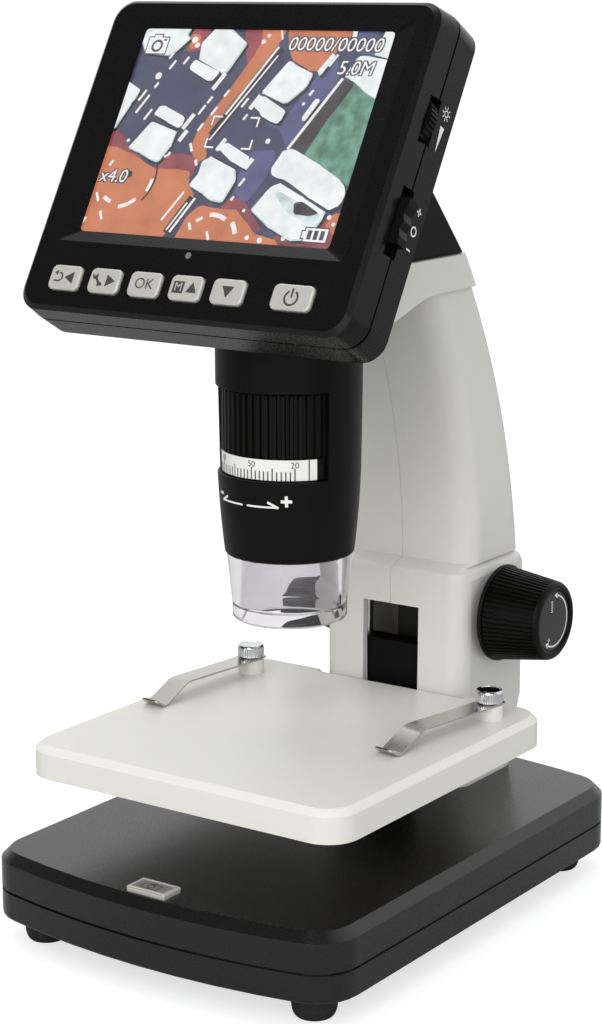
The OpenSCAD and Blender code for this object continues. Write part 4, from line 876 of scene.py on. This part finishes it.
# Black ABS of the case: duller than the base.
case_black = grained("black_case_abs", "#0d0c0c", 0.27, 0.5, 0.0008, tint=0.08, IOR=1.52,
                     Specular_IOR_Level=0.25)
face_n, seam_n = 1.2, -5.8
case_soft = 0.55
draft_x, draft_u = 1.4, 0.8
open_x, open_u = 35.1, 26.5
frame_x, frame_low, frame_top = 40.5, -29.6, 29.2
slot_n, slot_reach, key_row_u = -5.2, 2.2, -34
monitor_front = copy_of("monitor_front_shell", "monitor_front_frame")
for point in monitor_front.data.vertices:
    x, u, n = local(point.co)
    if n > face_n - 0.05 and abs(x) < open_x + 0.5 and abs(u) < open_u + 0.5:
        x_new = x * frame_x / open_x
        u_new = frame_low + (frame_top - frame_low) * (u + open_u) / (2 * open_u)
        point.co += (across * (x_new - x) + upward * (u_new - u)) * MM
    elif near_outline(point.co, 3.5) and n > seam_n:
        share = (n - seam_n) / (face_n - seam_n)
        point.co -= (across * x * draft_x / half_w + upward * (draft_u if u > 0 else 0)) * share * MM


def on_front_edge(p):
    """Whether a point lies on the front shell's outer edge, away from the slots in its right-hand side."""
    x, _, n = local(p)
    return near_outline(p) and -3.5 < n < 1.5 and not (x > half_w - 4 and abs(n - slot_n) < slot_reach)


def by_keys(p):
    """Whether a point lies on the front at the openings of the keys."""
    _, u, n = local(p)
    return u < key_row_u and n > 1.1 and not near_outline(p)


round_edges(monitor_front, case_soft, on_front_edge, segments=3, sharp=20)
round_edges(monitor_front, 0.3, by_keys, segments=2, sharp=50)
settle(monitor_front, "stand", case_black, "black_plastic", "monitor_front_shell")
rear_edge_n = -11
monitor_rear = copy_of("monitor_rear_shell", "monitor_rear_cover")
round_edges(monitor_rear, case_soft, lambda p: near_outline(p) and local(p)[2] < rear_edge_n,
            segments=3, sharp=20)
settle(monitor_rear, "stand", case_black, "black_plastic", "monitor_rear_shell")

# Monitor screws
# Four zinc-plated screws sunk in the rear shell's corners.
rear_n = -15.0
rear_heads = cross_head("monitor_screw_heads", screw_r, 1.4, cross_depth)
corner_x, corner_u = 42.2, (29.1, -41.6)
rear_heads = copies_at(rear_heads, [(x * MM, u * MM, 0) for x in (-corner_x, corner_x) for u in corner_u])
rear_heads.data.transform(on_screen(0, 0, rear_n + 1.0) @ Matrix.Rotation(math.pi, 4, "Y"))
settle(rear_heads, "stand", zinc_steel, "steel", "monitor_screws")

# Boards and switches in the head
# The green main board with its moulded key switches, the wheel's potentiometer and the lever's slide switch.
dress(solder_mask, "main_board")
dress(grained("dark_moulded_component", "#3b3d40", 0.5, 0.4, 0.01, IOR=1.54), "key_switches", "wheel_pot",
      "lever_switch")

# Display panel
# A colour panel in a thin metal frame. It glows with a magnified view of a circuit board: copper areas, dark
# board, tinned pads and a chip, under the camera's own figures and signs.
panel_frame = grained("display_panel_frame", "#2a2c30", 0.4, 1.0, 0.01, Metallic=0.8)


def glowing(name, colour, speckle, patch_mm):
    """A part of the picture: its own light, mottled in patches as a magnified surface is."""
    material, tree, shader = blank("picture_" + name)
    place = add_node(tree, "ShaderNodeTexCoord").outputs["Object"]
    feed(tree, shader, {"Emission Color": drifting(tree, place, colour, speckle, patch_mm, 4.0,
                                                   ends=(0.32, 0.68)),
                        "Emission Strength": 1.0, "Base Color": linear("#050505"), "Roughness": 0.6})
    return material


# Each part of the picture: its colour, how much it is mottled and the size of the patches in millimetres
tones = {"board": ("#424260", 0.25, 5), "board_haze": ("#575a85", 0.2, 6), "copper": ("#cd7a53", 0.14, 7),
         "wine": ("#94464c", 0.3, 5), "edge": ("#1d1a2a", 0.3, 2), "pad": ("#f3f9fb", 0.1, 4),
         "shaded_pad": ("#d0dfdf", 0.2, 3), "glint": ("#f4f0ee", 0.05, 2), "chip": ("#64937f", 0.45, 3),
         "chip_side": ("#40383a", 0.4, 3), "sign": ("#fafafa", 0.01, 9), "sign_shade": ("#463f4c", 0.05, 9)}
lights = {name: glowing(name, *tone) for name, tone in tones.items()}
view_w, view_h = 72.6, 54.4


def patch(corners, soft=0.5):
    """A flat patch between corner points, with its corners rounded."""
    piece = disc(0, 0, 1, len(corners), 90)
    for point, (x, u) in zip(piece.data.vertices, corners):
        point.co = (x, u, 0)
    select_whole(piece)
    bpy.ops.mesh.bevel(offset=soft, segments=3, affect="VERTICES", clamp_overlap=True)
    return activate(piece)


def bar(x0, u0, x1, u1, w):
    """A flat bar from one point to another."""
    return plate((x0 + x1) / 2, (u0 + u1) / 2, math.hypot(x1 - x0, u1 - u0), w,
                 math.degrees(math.atan2(u1 - u0, x1 - x0)))


def dashes(*places, turn=63, w=0.7):
    """Short bars of solder along the tracks, each given as (across, up, length)."""
    return [plate(x, u, length, w, turn) for x, u, length in places]


def lit(corners):
    """The lit part of a pad: its corners drawn in a little and shifted towards the light."""
    centre = sum((Vector(c) for c in corners), Vector((0, 0))) / len(corners)
    return [Vector(c).lerp(centre, 0.045) + Vector((-0.15, 0.2)) for c in corners]


pads = [
    [(-29.7, -4.6), (-25.2, 2.6), (-16.8, 0.2), (-17.2, -3.5), (-19.6, -8), (-22, -7.4), (-26, -5.6)],
    [(-18.2, 23.2), (-15, 27.5), (-11.5, 27.5), (-4.8, 23.4), (-7.8, 15.8), (-10, 15.2), (-17.4, 18.6)],
    [(3.4, 11), (8.6, 19.2), (11, 18), (16.2, 16), (15.6, 12.4), (11.4, 8.2), (8.5, 8.8), (4.8, 10)],
    [(-7, -7.2), (-4.4, -5.4), (3.2, -8.4), (4.2, -11.5), (2.2, -17), (-1.2, -16.6), (-4.6, -14.8),
     (-8.6, -13.2), (-6.8, -10)],
    [(24.8, 15.4), (27.2, 20.6), (29, 20.8), (36.5, 19.6), (36.5, 9.2), (31, 12), (27, 14.6)],
    [(31, 20.8), (32.5, 27.5), (36.5, 27.5), (36.5, 20)],
    [(-36.5, 12.9), (-31.6, 10.6), (-32.4, 8), (-33, 7), (-35.6, 0.2), (-36.5, 0.2)],
    [(-36.5, 27.5), (-22, 27.5), (-23, 25), (-21.6, 24.4), (-24.6, 21), (-27, 19.6), (-34, 20.2),
     (-36.5, 24)],
    [(17.2, 16), (20, 21.2), (20.9, 20.6), (18.4, 15.4)], [(16.8, 4.4), (19.2, 9.8), (20.6, 9.4), (18, 3.9)]]
ends = [
    [(-25.6, 4.4), (-23.8, 7), (-15.6, 3.8), (-16.4, 0.8), (-20.5, 2.4)],
    [(-19.6, 16.4), (-18.4, 19), (-10, 15.8), (-11.6, 13.2), (-13.5, 13.6)],
    [(2.2, 7.6), (4.2, 10.2), (12, 6.6), (11.2, 3.2), (9, 3.4), (5.5, 5.2)],
    [(-3.8, -3.6), (-1.8, -1.9), (6.6, -5.8), (5.6, -8.6), (2, -7)],
    [(12.8, -8.2), (14.6, -3.4), (17, -2.8), (27, -7), (33, -10.2), (34.8, -12.4), (34.2, -16), (31.6, -17.2),
     (25, -14.2), (18, -10.6), (14, -9.8)]]
lower_pad = [(10.8, -18.4), (14, -12.6), (16.4, -11.2), (24, -14.4), (31.2, -17.6), (30.6, -20),
             (27.6, -24.8), (24, -25), (17.4, -22.4)]
chip = [(16.4, -2.8), (25.6, 15), (36.5, 9.4), (36.5, -12), (33, -10.2), (27, -7)]
copper = [
    [(-36.5, -4), (-33, -4.4), (-30, -5.4), (-25, -7), (-21, -9), (-18.5, -9.4), (-14, -9.2), (-9.5, -9.6),
     (-8.7, -13), (-6, -15.5), (-9, -22), (-12, -27.5), (-36.5, -27.5)],
    [(-8, -27.5), (-6.5, -21), (-3.5, -17.8), (2, -18.4), (7, -18.4), (11, -21.4), (14, -24), (20, -25),
     (22, -27.5)],
    [(-1.8, 27.5), (5.2, 27.5), (4.2, 23.5), (1.5, 18), (-3, 9.5), (-6.8, 2), (-7.6, -2.5), (-6, -6),
     (-8.2, -7.6), (-11.2, -4.5), (-11.4, -1), (-9, 5), (-5.5, 12), (-2, 20), (-1, 24)],
    [(5.4, 27.5), (24.5, 27.5), (21, 22), (17.8, 16.6), (14.5, 16.8), (9, 19.5), (7.5, 22)],
    [(-22, 25.4), (-19, 25.6), (-18.4, 22.2), (-21, 21.4)],
    [(33, -18), (36.5, -17.4), (36.5, -24), (32, -21)]]
spots = [(-27.7, 14.4, 0.95), (9.6, -1.2, 0.7), (16.1, 8.4, 0.45), (9, -18.5, 0.45), (-20.4, 24, 0.9),
         (-19.2, 22.6, 0.7), (-0.4, 23.8, 0.6), (0.6, 25.4, 0.5), (12.2, -25, 0.6), (15.8, -25.4, 0.7),
         (22, -24.6, 0.6), (32.4, -18.8, 0.6), (34, -20.4, 0.5), (-30.4, -2.6, 0.5), (-18, -6.2, 0.4)]
seams = [(-25.2, 2.7, -16.7, 0.4), (-17.6, 18.8, -9.6, 15.4), (4.4, 10.3, 11.6, 7.6), (-4.6, -5.6, 3.6, -8.6)]
shadow = Vector((0.7, -0.6))
layers = [
    ("board", [plate(0, 0, view_w, view_h)]),
    ("board_haze", [patch([(6, 3), (12, 2), (15, -3), (24, 14.5), (21, 21), (17, 15), (12, 4)], 2),
                    patch([(5, -4), (13, -3), (12.5, -9), (9, -17), (4, -14)], 2),
                    patch([(25, 27.5), (26, 21.5), (31, 20.8), (30.5, 27.5)])]),
    ("wine", [patch([(-36.5, 0.5), (-32, -1), (-30, -4.5), (-24, -7), (-36.5, -9)], 2),
              patch([(-20, -6.5), (-14, -5), (-9, -6), (-8, -11), (-20, -11.5)], 2),
              patch([(2, -16), (8, -15.5), (11, -19), (16, -23), (10, -25), (3, -20)], 2),
              patch([(-7, 27.5), (-1, 27.5), (0, 22), (-2.5, 17), (-4.5, 21)], 2),
              patch([(-23, 26.8), (-20.5, 27.5), (-16.5, 27), (-17.6, 21.4), (-21.6, 20.6), (-22.8, 24)], 1),
              patch([(19, -24.4), (34, -18), (36.5, -18), (36.5, -27.5), (20, -27.5)], 1)]),
    ("copper", [patch(corners, 0.8) for corners in copper]),
    ("edge", [patch([Vector(c) + shadow for c in corners], 0.6) for corners in [*pads, *ends, lower_pad]]
     + [ring(-28, -12, 9.2, 0.5, -40, 110), bar(5.2, 22.2, -6.6, -0.4, 2.6),
        bar(-6.2, -16.2, -10.6, -25.4, 2.6), disc(-26.8, -11.2, 0.9)]),
    ("glint", [bar(4.4, 22.6, -4.6, 5.0, 0.65), bar(4.9, 20.4, -6.9, -1.6, 0.5),
               bar(3.4, 27.5, 4.7, 24.4, 0.5), bar(-9.3, -14.8, -13.2, -22.2, 0.6),
               bar(-5.6, -16.2, -9.8, -25.0, 0.7), bar(-7.4, -17.4, -10.9, -24.6, 0.5),
               bar(15.6, -3.0, 24.6, 15.0, 0.8), bar(24.0, 27.5, 24.4, 24.6, 1.2)]
     + dashes((-14.6, 2.9, 4.4), (-14.8, -0.8, 3.2), (-9.5, 13.4, 4.8), (-3.1, -2.6, 3.4), (6.3, -7.0, 3.0),
              (2.6, 8.4, 4.0), w=1.2)
     + dashes((-11.8, 6.0, 2.8), (-10.4, 8.6, 2.0), (-8.2, 5.8, 2.4), (-10.6, 1.6, 2.2), (-6.2, 10.4, 2.0),
              (-30.6, 9.2, 3.2), (-29.7, 7.0, 5.4), (-27.1, 4.3, 3.2), (-24.6, 17.4, 2.6), (-21, 18.6, 2.2),
              (-25.8, 19.8, 1.8), (-27.4, 12, 1.6), (6.0, -11.6, 2.2), (-0.2, 8.2, 2.6), (1.2, 4.6, 1.6),
              (17.3, 11.2, 1.6), (20.6, 19.4, 3.4), (-33.2, -8.6, 1.6), (4.8, -15.7, 1.2), (-17.2, -5.6, 1.2),
              (-36, -24, 3.0))
     + dashes((-11.4, -3.6, 2.4), (-8.6, -7.4, 1.6), (-31.2, -22, 2.4), (-34, -17.4, 2.6), (1.2, -25.2, 2.4),
              (-4.6, -23.2, 2.0), turn=-60)
     + [ring(-28, -12, 8.4, 0.9, -22, 24), ring(-28, -12, 7.6, 1.0, -80, 34),
        ring(-28, -12, 6.6, 1.0, -126, 24), ring(1, -27.4, 7.4, 1.1, 62, 36),
        ring(1, -27.4, 8.2, 1.2, 22, 26), ring(1, -27.4, 7.0, 0.8, 112, 18)]
     + [disc(x, u, r, 10) for x, u, r in spots]),
    ("chip", [patch(chip, 0.3)]),
    ("chip_side", [patch([(16.4, -2.8), (25.6, 15), (28.4, 13.6), (23.6, 4), (20.6, -4.4)], 0.8)]),
    ("shaded_pad", [patch(corners, 0.6) for corners in (*pads, lower_pad)]),
    ("pad", [patch(lit(corners), 0.7) for corners in (*pads, lower_pad)]),
    ("shaded_pad", [patch([(15, -12.6), (22, -15.2), (30.5, -18.6), (28, -20.6), (20, -18)], 1)]),
    ("chip_side", [patch([(21.8, -16), (24, -15.4), (29.4, -18), (27, -18.9), (23, -18.6)], 0.7)]),
    ("edge", [disc(23.6, -17.5, 1.2), *[bar(*line, 0.35) for line in seams]]),
    ("pad", [patch(corners, 1.0) for corners in ends])]
random.seed(7)
waver = 0.12
picture = []
picture_n = max(local(v.co)[2] for v in frame["nodes"]["lcd_panel"].data.vertices) + 0.01
layer_n = 0.009
for layer, (light, parts) in enumerate(layers):
    if light in ("pad", "shaded_pad", "copper"):
        for part in parts:
            for point in part.data.vertices:
                point.co.xy += Vector((random.uniform(-1, 1), random.uniform(-1, 1))) * waver
    picture.append(flat_marks(f"picture_{layer}_{light}", lights[light], parts,
                              on_screen(n=picture_n + layer_n * layer)))

# The camera's own signs over the picture
osd_n = picture_n + layer_n * (len(layers) + 1)
text_marks = [("00000/00000", 19.8, 23.2, 4.9), ("5.0M", 27.3, 17.4, 4.9), ("x4.0", -31.2, -12.0, 4.7)]
body_marks = [(-31, 22.3, 5.8, 4.2), (-31.4, 24.6, 2.2, 1.0), (30.4, -23.3, 6.0, 3.2),
              (27.1, -23.3, 0.8, 1.6)]
focus_x, focus_u = -1.1, 0.5
for light, rim, n in (("sign_shade", 0.3, osd_n), ("sign", 0, osd_n + 0.03)):
    shifts = [(-rim, -rim), (-rim, rim), (rim, -rim), (rim, rim)] if rim else [(0, 0)]
    parts = [words(text, x + dx, u + du, size, slant=0.12) for text, x, u, size in text_marks
             for dx, du in shifts]
    parts += [plate(x, u, w + 2 * rim, h + 2 * rim) for x, u, w, h in body_marks]
    for side in (-1, 1):
        for level in (-1, 1):
            parts += [plate(focus_x + side * 5.3, focus_u + level * 3.9, 2.7 + rim, 0.45 + rim),
                      plate(focus_x + side * 6.4, focus_u + level * 2.8, 0.45 + rim, 2.4 + rim)]
    picture.append(flat_marks(f"picture_signs_{light}", lights[light], parts, on_screen(n=n)))
charge_bars = [plate(30.4 + 1.7 * i, -23.3, 1.1, 2.2) for i in (-1, 0, 1)]
picture.append(flat_marks("picture_sign_holes", lights["sign_shade"], [
    ring(-31, 22.2, 1.35, 0.6), plate(-29, 23.8, 0.8, 0.5), *charge_bars], on_screen(n=osd_n + 0.045)))
display = copy_of("lcd_panel", "display_panel")
display.data.materials.append(panel_frame)
merge(display, *picture)
for side, half in ((across, view_w / 2), (upward, view_h / 2)):
    for sign in (-1, 1):
        choose(display, "polygons", lambda p: local(p)[2] > picture_n - 0.02)
        bpy.ops.mesh.bisect(plane_co=middle + side * sign * half * MM, plane_no=side * sign, clear_outer=True)
settle(display, "stand", panel_frame, "panel", "lcd_panel")

# Screen window
# A clear cover pane glued into the front shell from behind, flush below the frame.
cover_glass = grained("clear_cover_pane", "#fbfcfc", 0.02, 20.0, 0.0004, tint=0.004,
                      Transmission_Weight=1.0, IOR=1.5)
pane_half = Vector((37.2, 28.4, 0)) * MM
pane_back, pane_front = Vector((0, 0, -0.55)) * MM, Vector((0, 0, 0.2)) * MM
pane = box_at("screen_cover_pane", pane_back - pane_half, pane_front + pane_half)
choose(pane, "edges", lambda p: abs(p.x) > pane_half.x * 0.99 and abs(p.y) > pane_half.y * 0.99)
bpy.ops.mesh.bevel(offset=1.5 * MM, segments=6, affect="EDGES")
activate(pane).data.transform(on_screen())
settle(pane, "stand", cover_glass, "screen_glass", "screen_window")

# Keys
# Silver-painted ABS caps with soft edges and dark printed signs, each in its own opening under the screen.
key_u = -39.0
key_top = 1.8
signs = {
    "back": lambda: [ring(-1.7, 0, 1.0, 0.42, start=-90, sweep=190), plate(-2.35, -1.0, 1.3, 0.42),
                     disc(-2.6, 1.0, 0.75, 3, 180), disc(1.7, 0, 1.75, 3, 180)],
    "setup": lambda: [plate(-1.9, -0.1, 0.6, 3.0, 40), ring(-2.75, 1.0, 0.6, 0.45, start=150, sweep=260),
                      ring(-1.05, -1.15, 0.5, 0.4, start=-30, sweep=260), disc(1.5, 0, 1.75, 3, 0)],
    "ok": lambda: [words("OK", 0, 0, 3.7)],
    "mode": lambda: [plate(-1.9, 0, 3.0, 2.9), disc(1.9, -0.25, 1.75, 3, 90)],
    "down": lambda: [disc(0, 0.3, 1.9, 3, -90)],
    "power": lambda: [ring(0, -0.2, 1.7, 0.5, start=120, sweep=300), plate(0, 1.0, 0.5, 2.2)],
}
for key, sign in signs.items():
    key_low, key_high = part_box(f"{key}_button")
    cap = copy_of(f"{key}_button", f"{key}_key_cap")
    round_edges(cap, 0.55, lambda p: local(p)[2] > key_top - 0.1, segments=4, sharp=40)
    cap.data.materials.append(silver_paint)
    at = on_screen((key_low.x + key_high.x) / 2 / MM, key_u, key_top + 0.02)
    marks = [flat_marks(f"{key}_sign", dark_print, sign(), at)]
    if key == "mode":
        marks.append(flat_marks("mode_letter", silver_paint, [words("M", -1.9, 0, 2.9)],
                                at @ Matrix.Translation((0, 0, 0.02 * MM))))
    merge(cap, *marks)
    settle(cap, f"{key}_key", silver_paint, "silver_key", f"{key}_button")

# Status light
# A small clear light pipe in the frame, just above the keys.
dress(grained("frosted_light_pipe", "#6d6a66", 0.3, 0.4, 0.004, IOR=1.49), "status_led")

# Brightness wheel and zoom lever
# A knurled black wheel and a ridged slide, both in slots across the seam on the right-hand side, with white
# printed signs beside them: a sun and a wedge, and plus, ring and minus.
wheel = copy_of("brightness_wheel", "brightness_thumbwheel")
settle(wheel, "light_wheel", grip_black, "barrel_black", "brightness_wheel", crease=20)
lever = copy_of("zoom_lever", "zoom_slide_lever")
lever_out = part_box("zoom_lever")[1].x - 0.05 * MM
lever_u, ridge_step, ridge_depth = -17.0, 1.5, 0.6
choose(lever, "polygons", lambda p: p.x > lever_out)
bpy.ops.mesh.subdivide(number_cuts=5)
choose(lever, "vertices", lambda p: p.x > lever_out
       and round(abs(local(p)[1] - lever_u) / ridge_step) % 2 == 1)
bpy.ops.transform.translate(value=(-ridge_depth * MM, 0, 0))
settle(lever, "zoom_slider", grip_black, "barrel_black", "zoom_lever", crease=20)


def on_right(u, n):
    """Places flat marks on the monitor's right-hand side, upright along the screen."""
    turn = Matrix((-normal, upward, across)).transposed().to_4x4()
    return Matrix.Translation(middle + (across * (half_w + 0.03) + upward * u + normal * n) * MM) @ turn


sun_u, wedge_u, slide_u = 11.9, 6.6, -16.3
side_n = -10.2
ray_r = 1.35
rays = [plate(ray_r * math.cos(a), ray_r * math.sin(a), 0.7, 0.25, math.degrees(a))
        for a in [math.radians(45 * i) for i in range(8)]]
sun = flat_marks("brightness_sign", white_ink, [ring(0, 0, 0.7, 0.25), *rays], on_right(sun_u, side_n))
wedge_mark = disc(0, 0, 1, 3, -90)
wedge_mark.scale = (1.0, 4.1, 1)
wedge_sign = flat_marks("brightness_wedge", white_ink, [wedge_mark], on_right(wedge_u, side_n))
lever_signs = flat_marks("zoom_signs", white_ink, [
    plate(0, 4.6, 1.8, 0.4), plate(0, 4.6, 0.4, 1.8), ring(0, 0, 1.0, 0.4), plate(0, -4.4, 1.6, 0.4)],
    on_right(slide_u, side_n - 1))
merge(sun, wedge_sign, lever_signs)
sun.name = "side_control_print"
settle(sun, "stand", white_ink, "white_print")

# Sockets
# Pressed steel shells of the charging socket and the card slot, in openings on the left-hand side.
for node, name in (("usb_socket", "charging_socket"), ("card_socket", "card_slot")):
    socket = copy_of(node, name)
    round_edges(socket, 0.15, segments=2, sharp=60)
    settle(socket, "stand", zinc_steel, "steel", node)

# Wire harness
# A bundle of thin wires in a black sleeve, from the battery up the column and through the head.
dress(grained("black_cable_sleeve", "#1c1c1d", 0.6, 0.8, 0.05, stretch=(1, 1, 0.3), IOR=1.5), "wire_harness")

# Studio
# A plain pale floor that meets a white background, and four soft lights: from the upper front, from the right
# at the camera's height, from above and low from the front. The camera stands at the photograph's place.


def direct_rays(tree):
    """The light path's outputs, and a switch that is on for what is seen straight or through clear parts."""
    path = add_node(tree, "ShaderNodeLightPath").outputs
    either = add_node(tree, "ShaderNodeMath", {0: path["Is Camera Ray"], 1: path["Is Transmission Ray"]},
                      operation="MAXIMUM")
    return path, either.outputs["Value"]


def shining(tree, kind, colour, strength):
    """A plain light of one colour, as an emission or a background."""
    return add_node(tree, kind, {"Color": linear(colour), "Strength": strength})


def mix(tree, share, first, second):
    """Goes over from one shader to another."""
    return add_node(tree, "ShaderNodeMixShader", {0: share, 1: first.outputs[0], 2: second.outputs[0]})


floor = fresh(bpy.ops.mesh.primitive_plane_add, size=80, location=(0, 0, 0))
floor.name = "studio_floor"
floor_glow = 0.66
paper, tree, matte = blank("white_paper_sweep")
feed(tree, matte, {"Base Color": linear("#b6b6b6"), "Roughness": 0.9})
_, direct = direct_rays(tree)
extra = mix(tree, direct, shining(tree, "ShaderNodeEmission", "#000000", 0.0),
            shining(tree, "ShaderNodeEmission", "#ffffff", floor_glow))
both = add_node(tree, "ShaderNodeAddShader", {0: matte.outputs["BSDF"], 1: extra.outputs["Shader"]})
feed(tree, tree.nodes["Material Output"], {"Surface": both.outputs["Shader"]})
floor.data.materials.append(paper)

# The gloss of the object mirrors a white wall behind it and a dim room in front.
room_from, room_to, dim, fill = -0.25, 0.35, 0.1, 0.85
world = bpy.data.worlds.new("studio_world")
bpy.context.scene.world = world
world.use_nodes = True
tree = world.node_tree
path, direct = direct_rays(tree)
way = add_node(tree, "ShaderNodeTexCoord").outputs["Generated"]
depth = add_node(tree, "ShaderNodeSeparateXYZ", {"Vector": way}).outputs["Y"]
wall = add_node(tree, "ShaderNodeMapRange", {"Value": depth, "From Min": room_from, "From Max": room_to,
                                             "To Min": dim, "To Max": 1.0}).outputs["Result"]
room = mix(tree, path["Is Glossy Ray"], shining(tree, "ShaderNodeBackground", "#f6f7f8", fill),
           shining(tree, "ShaderNodeBackground", "#ffffff", wall))
seen = mix(tree, direct, room, shining(tree, "ShaderNodeBackground", "#ffffff", 1.0))
feed(tree, tree.nodes["World Output"], {"Surface": seen.outputs["Shader"]})

target = Vector((0, 0, 0.11))
for name, place, size, power in (("key_softbox", (0.35, -1.0, 0.95), 0.7, 3.6),
                                 ("side_softbox", (0.8, -0.95, 0.28), 1.4, 7.5),
                                 ("top_softbox", (-0.35, 0.1, 1.2), 0.8, 2.4),
                                 ("front_softbox", (-0.1, -1.3, 0.35), 1.0, 3.0)):
    lamp = bpy.data.lights.new(name, "AREA")
    lamp.size = size
    lamp.energy = power
    holder = bpy.data.objects.new(name, lamp)
    bpy.context.scene.collection.objects.link(holder)
    holder.location = place
    holder.rotation_euler = (target - Vector(place)).to_track_quat("-Z", "Y").to_euler()

image_h = 1024
focal_px = 2423.5
sensor_mm = 24
azimuth, elevation, roll = (math.radians(a) for a in (35.03, 12.56, -0.17))
back = Vector((math.sin(azimuth) * math.cos(elevation), -math.cos(azimuth) * math.cos(elevation),
               math.sin(elevation)))
right = Vector((math.cos(azimuth), math.sin(azimuth), 0))
camera_data = bpy.data.cameras.new("photo_camera")
camera_data.sensor_width = sensor_mm
camera_data.lens = sensor_mm * focal_px / image_h
camera_data.clip_start = 0.01
camera = bpy.data.objects.new("photo_camera", camera_data)
bpy.context.scene.collection.objects.link(camera)
aim = Matrix((right, back.cross(right), back)).transposed().to_4x4() @ Matrix.Rotation(roll, 4, "Z")
camera.matrix_world = Matrix.Translation((0.3333, -0.4802, 0.2321)) @ aim
bpy.context.scene.camera = camera
bpy.context.scene.view_settings.view_transform = "Standard"
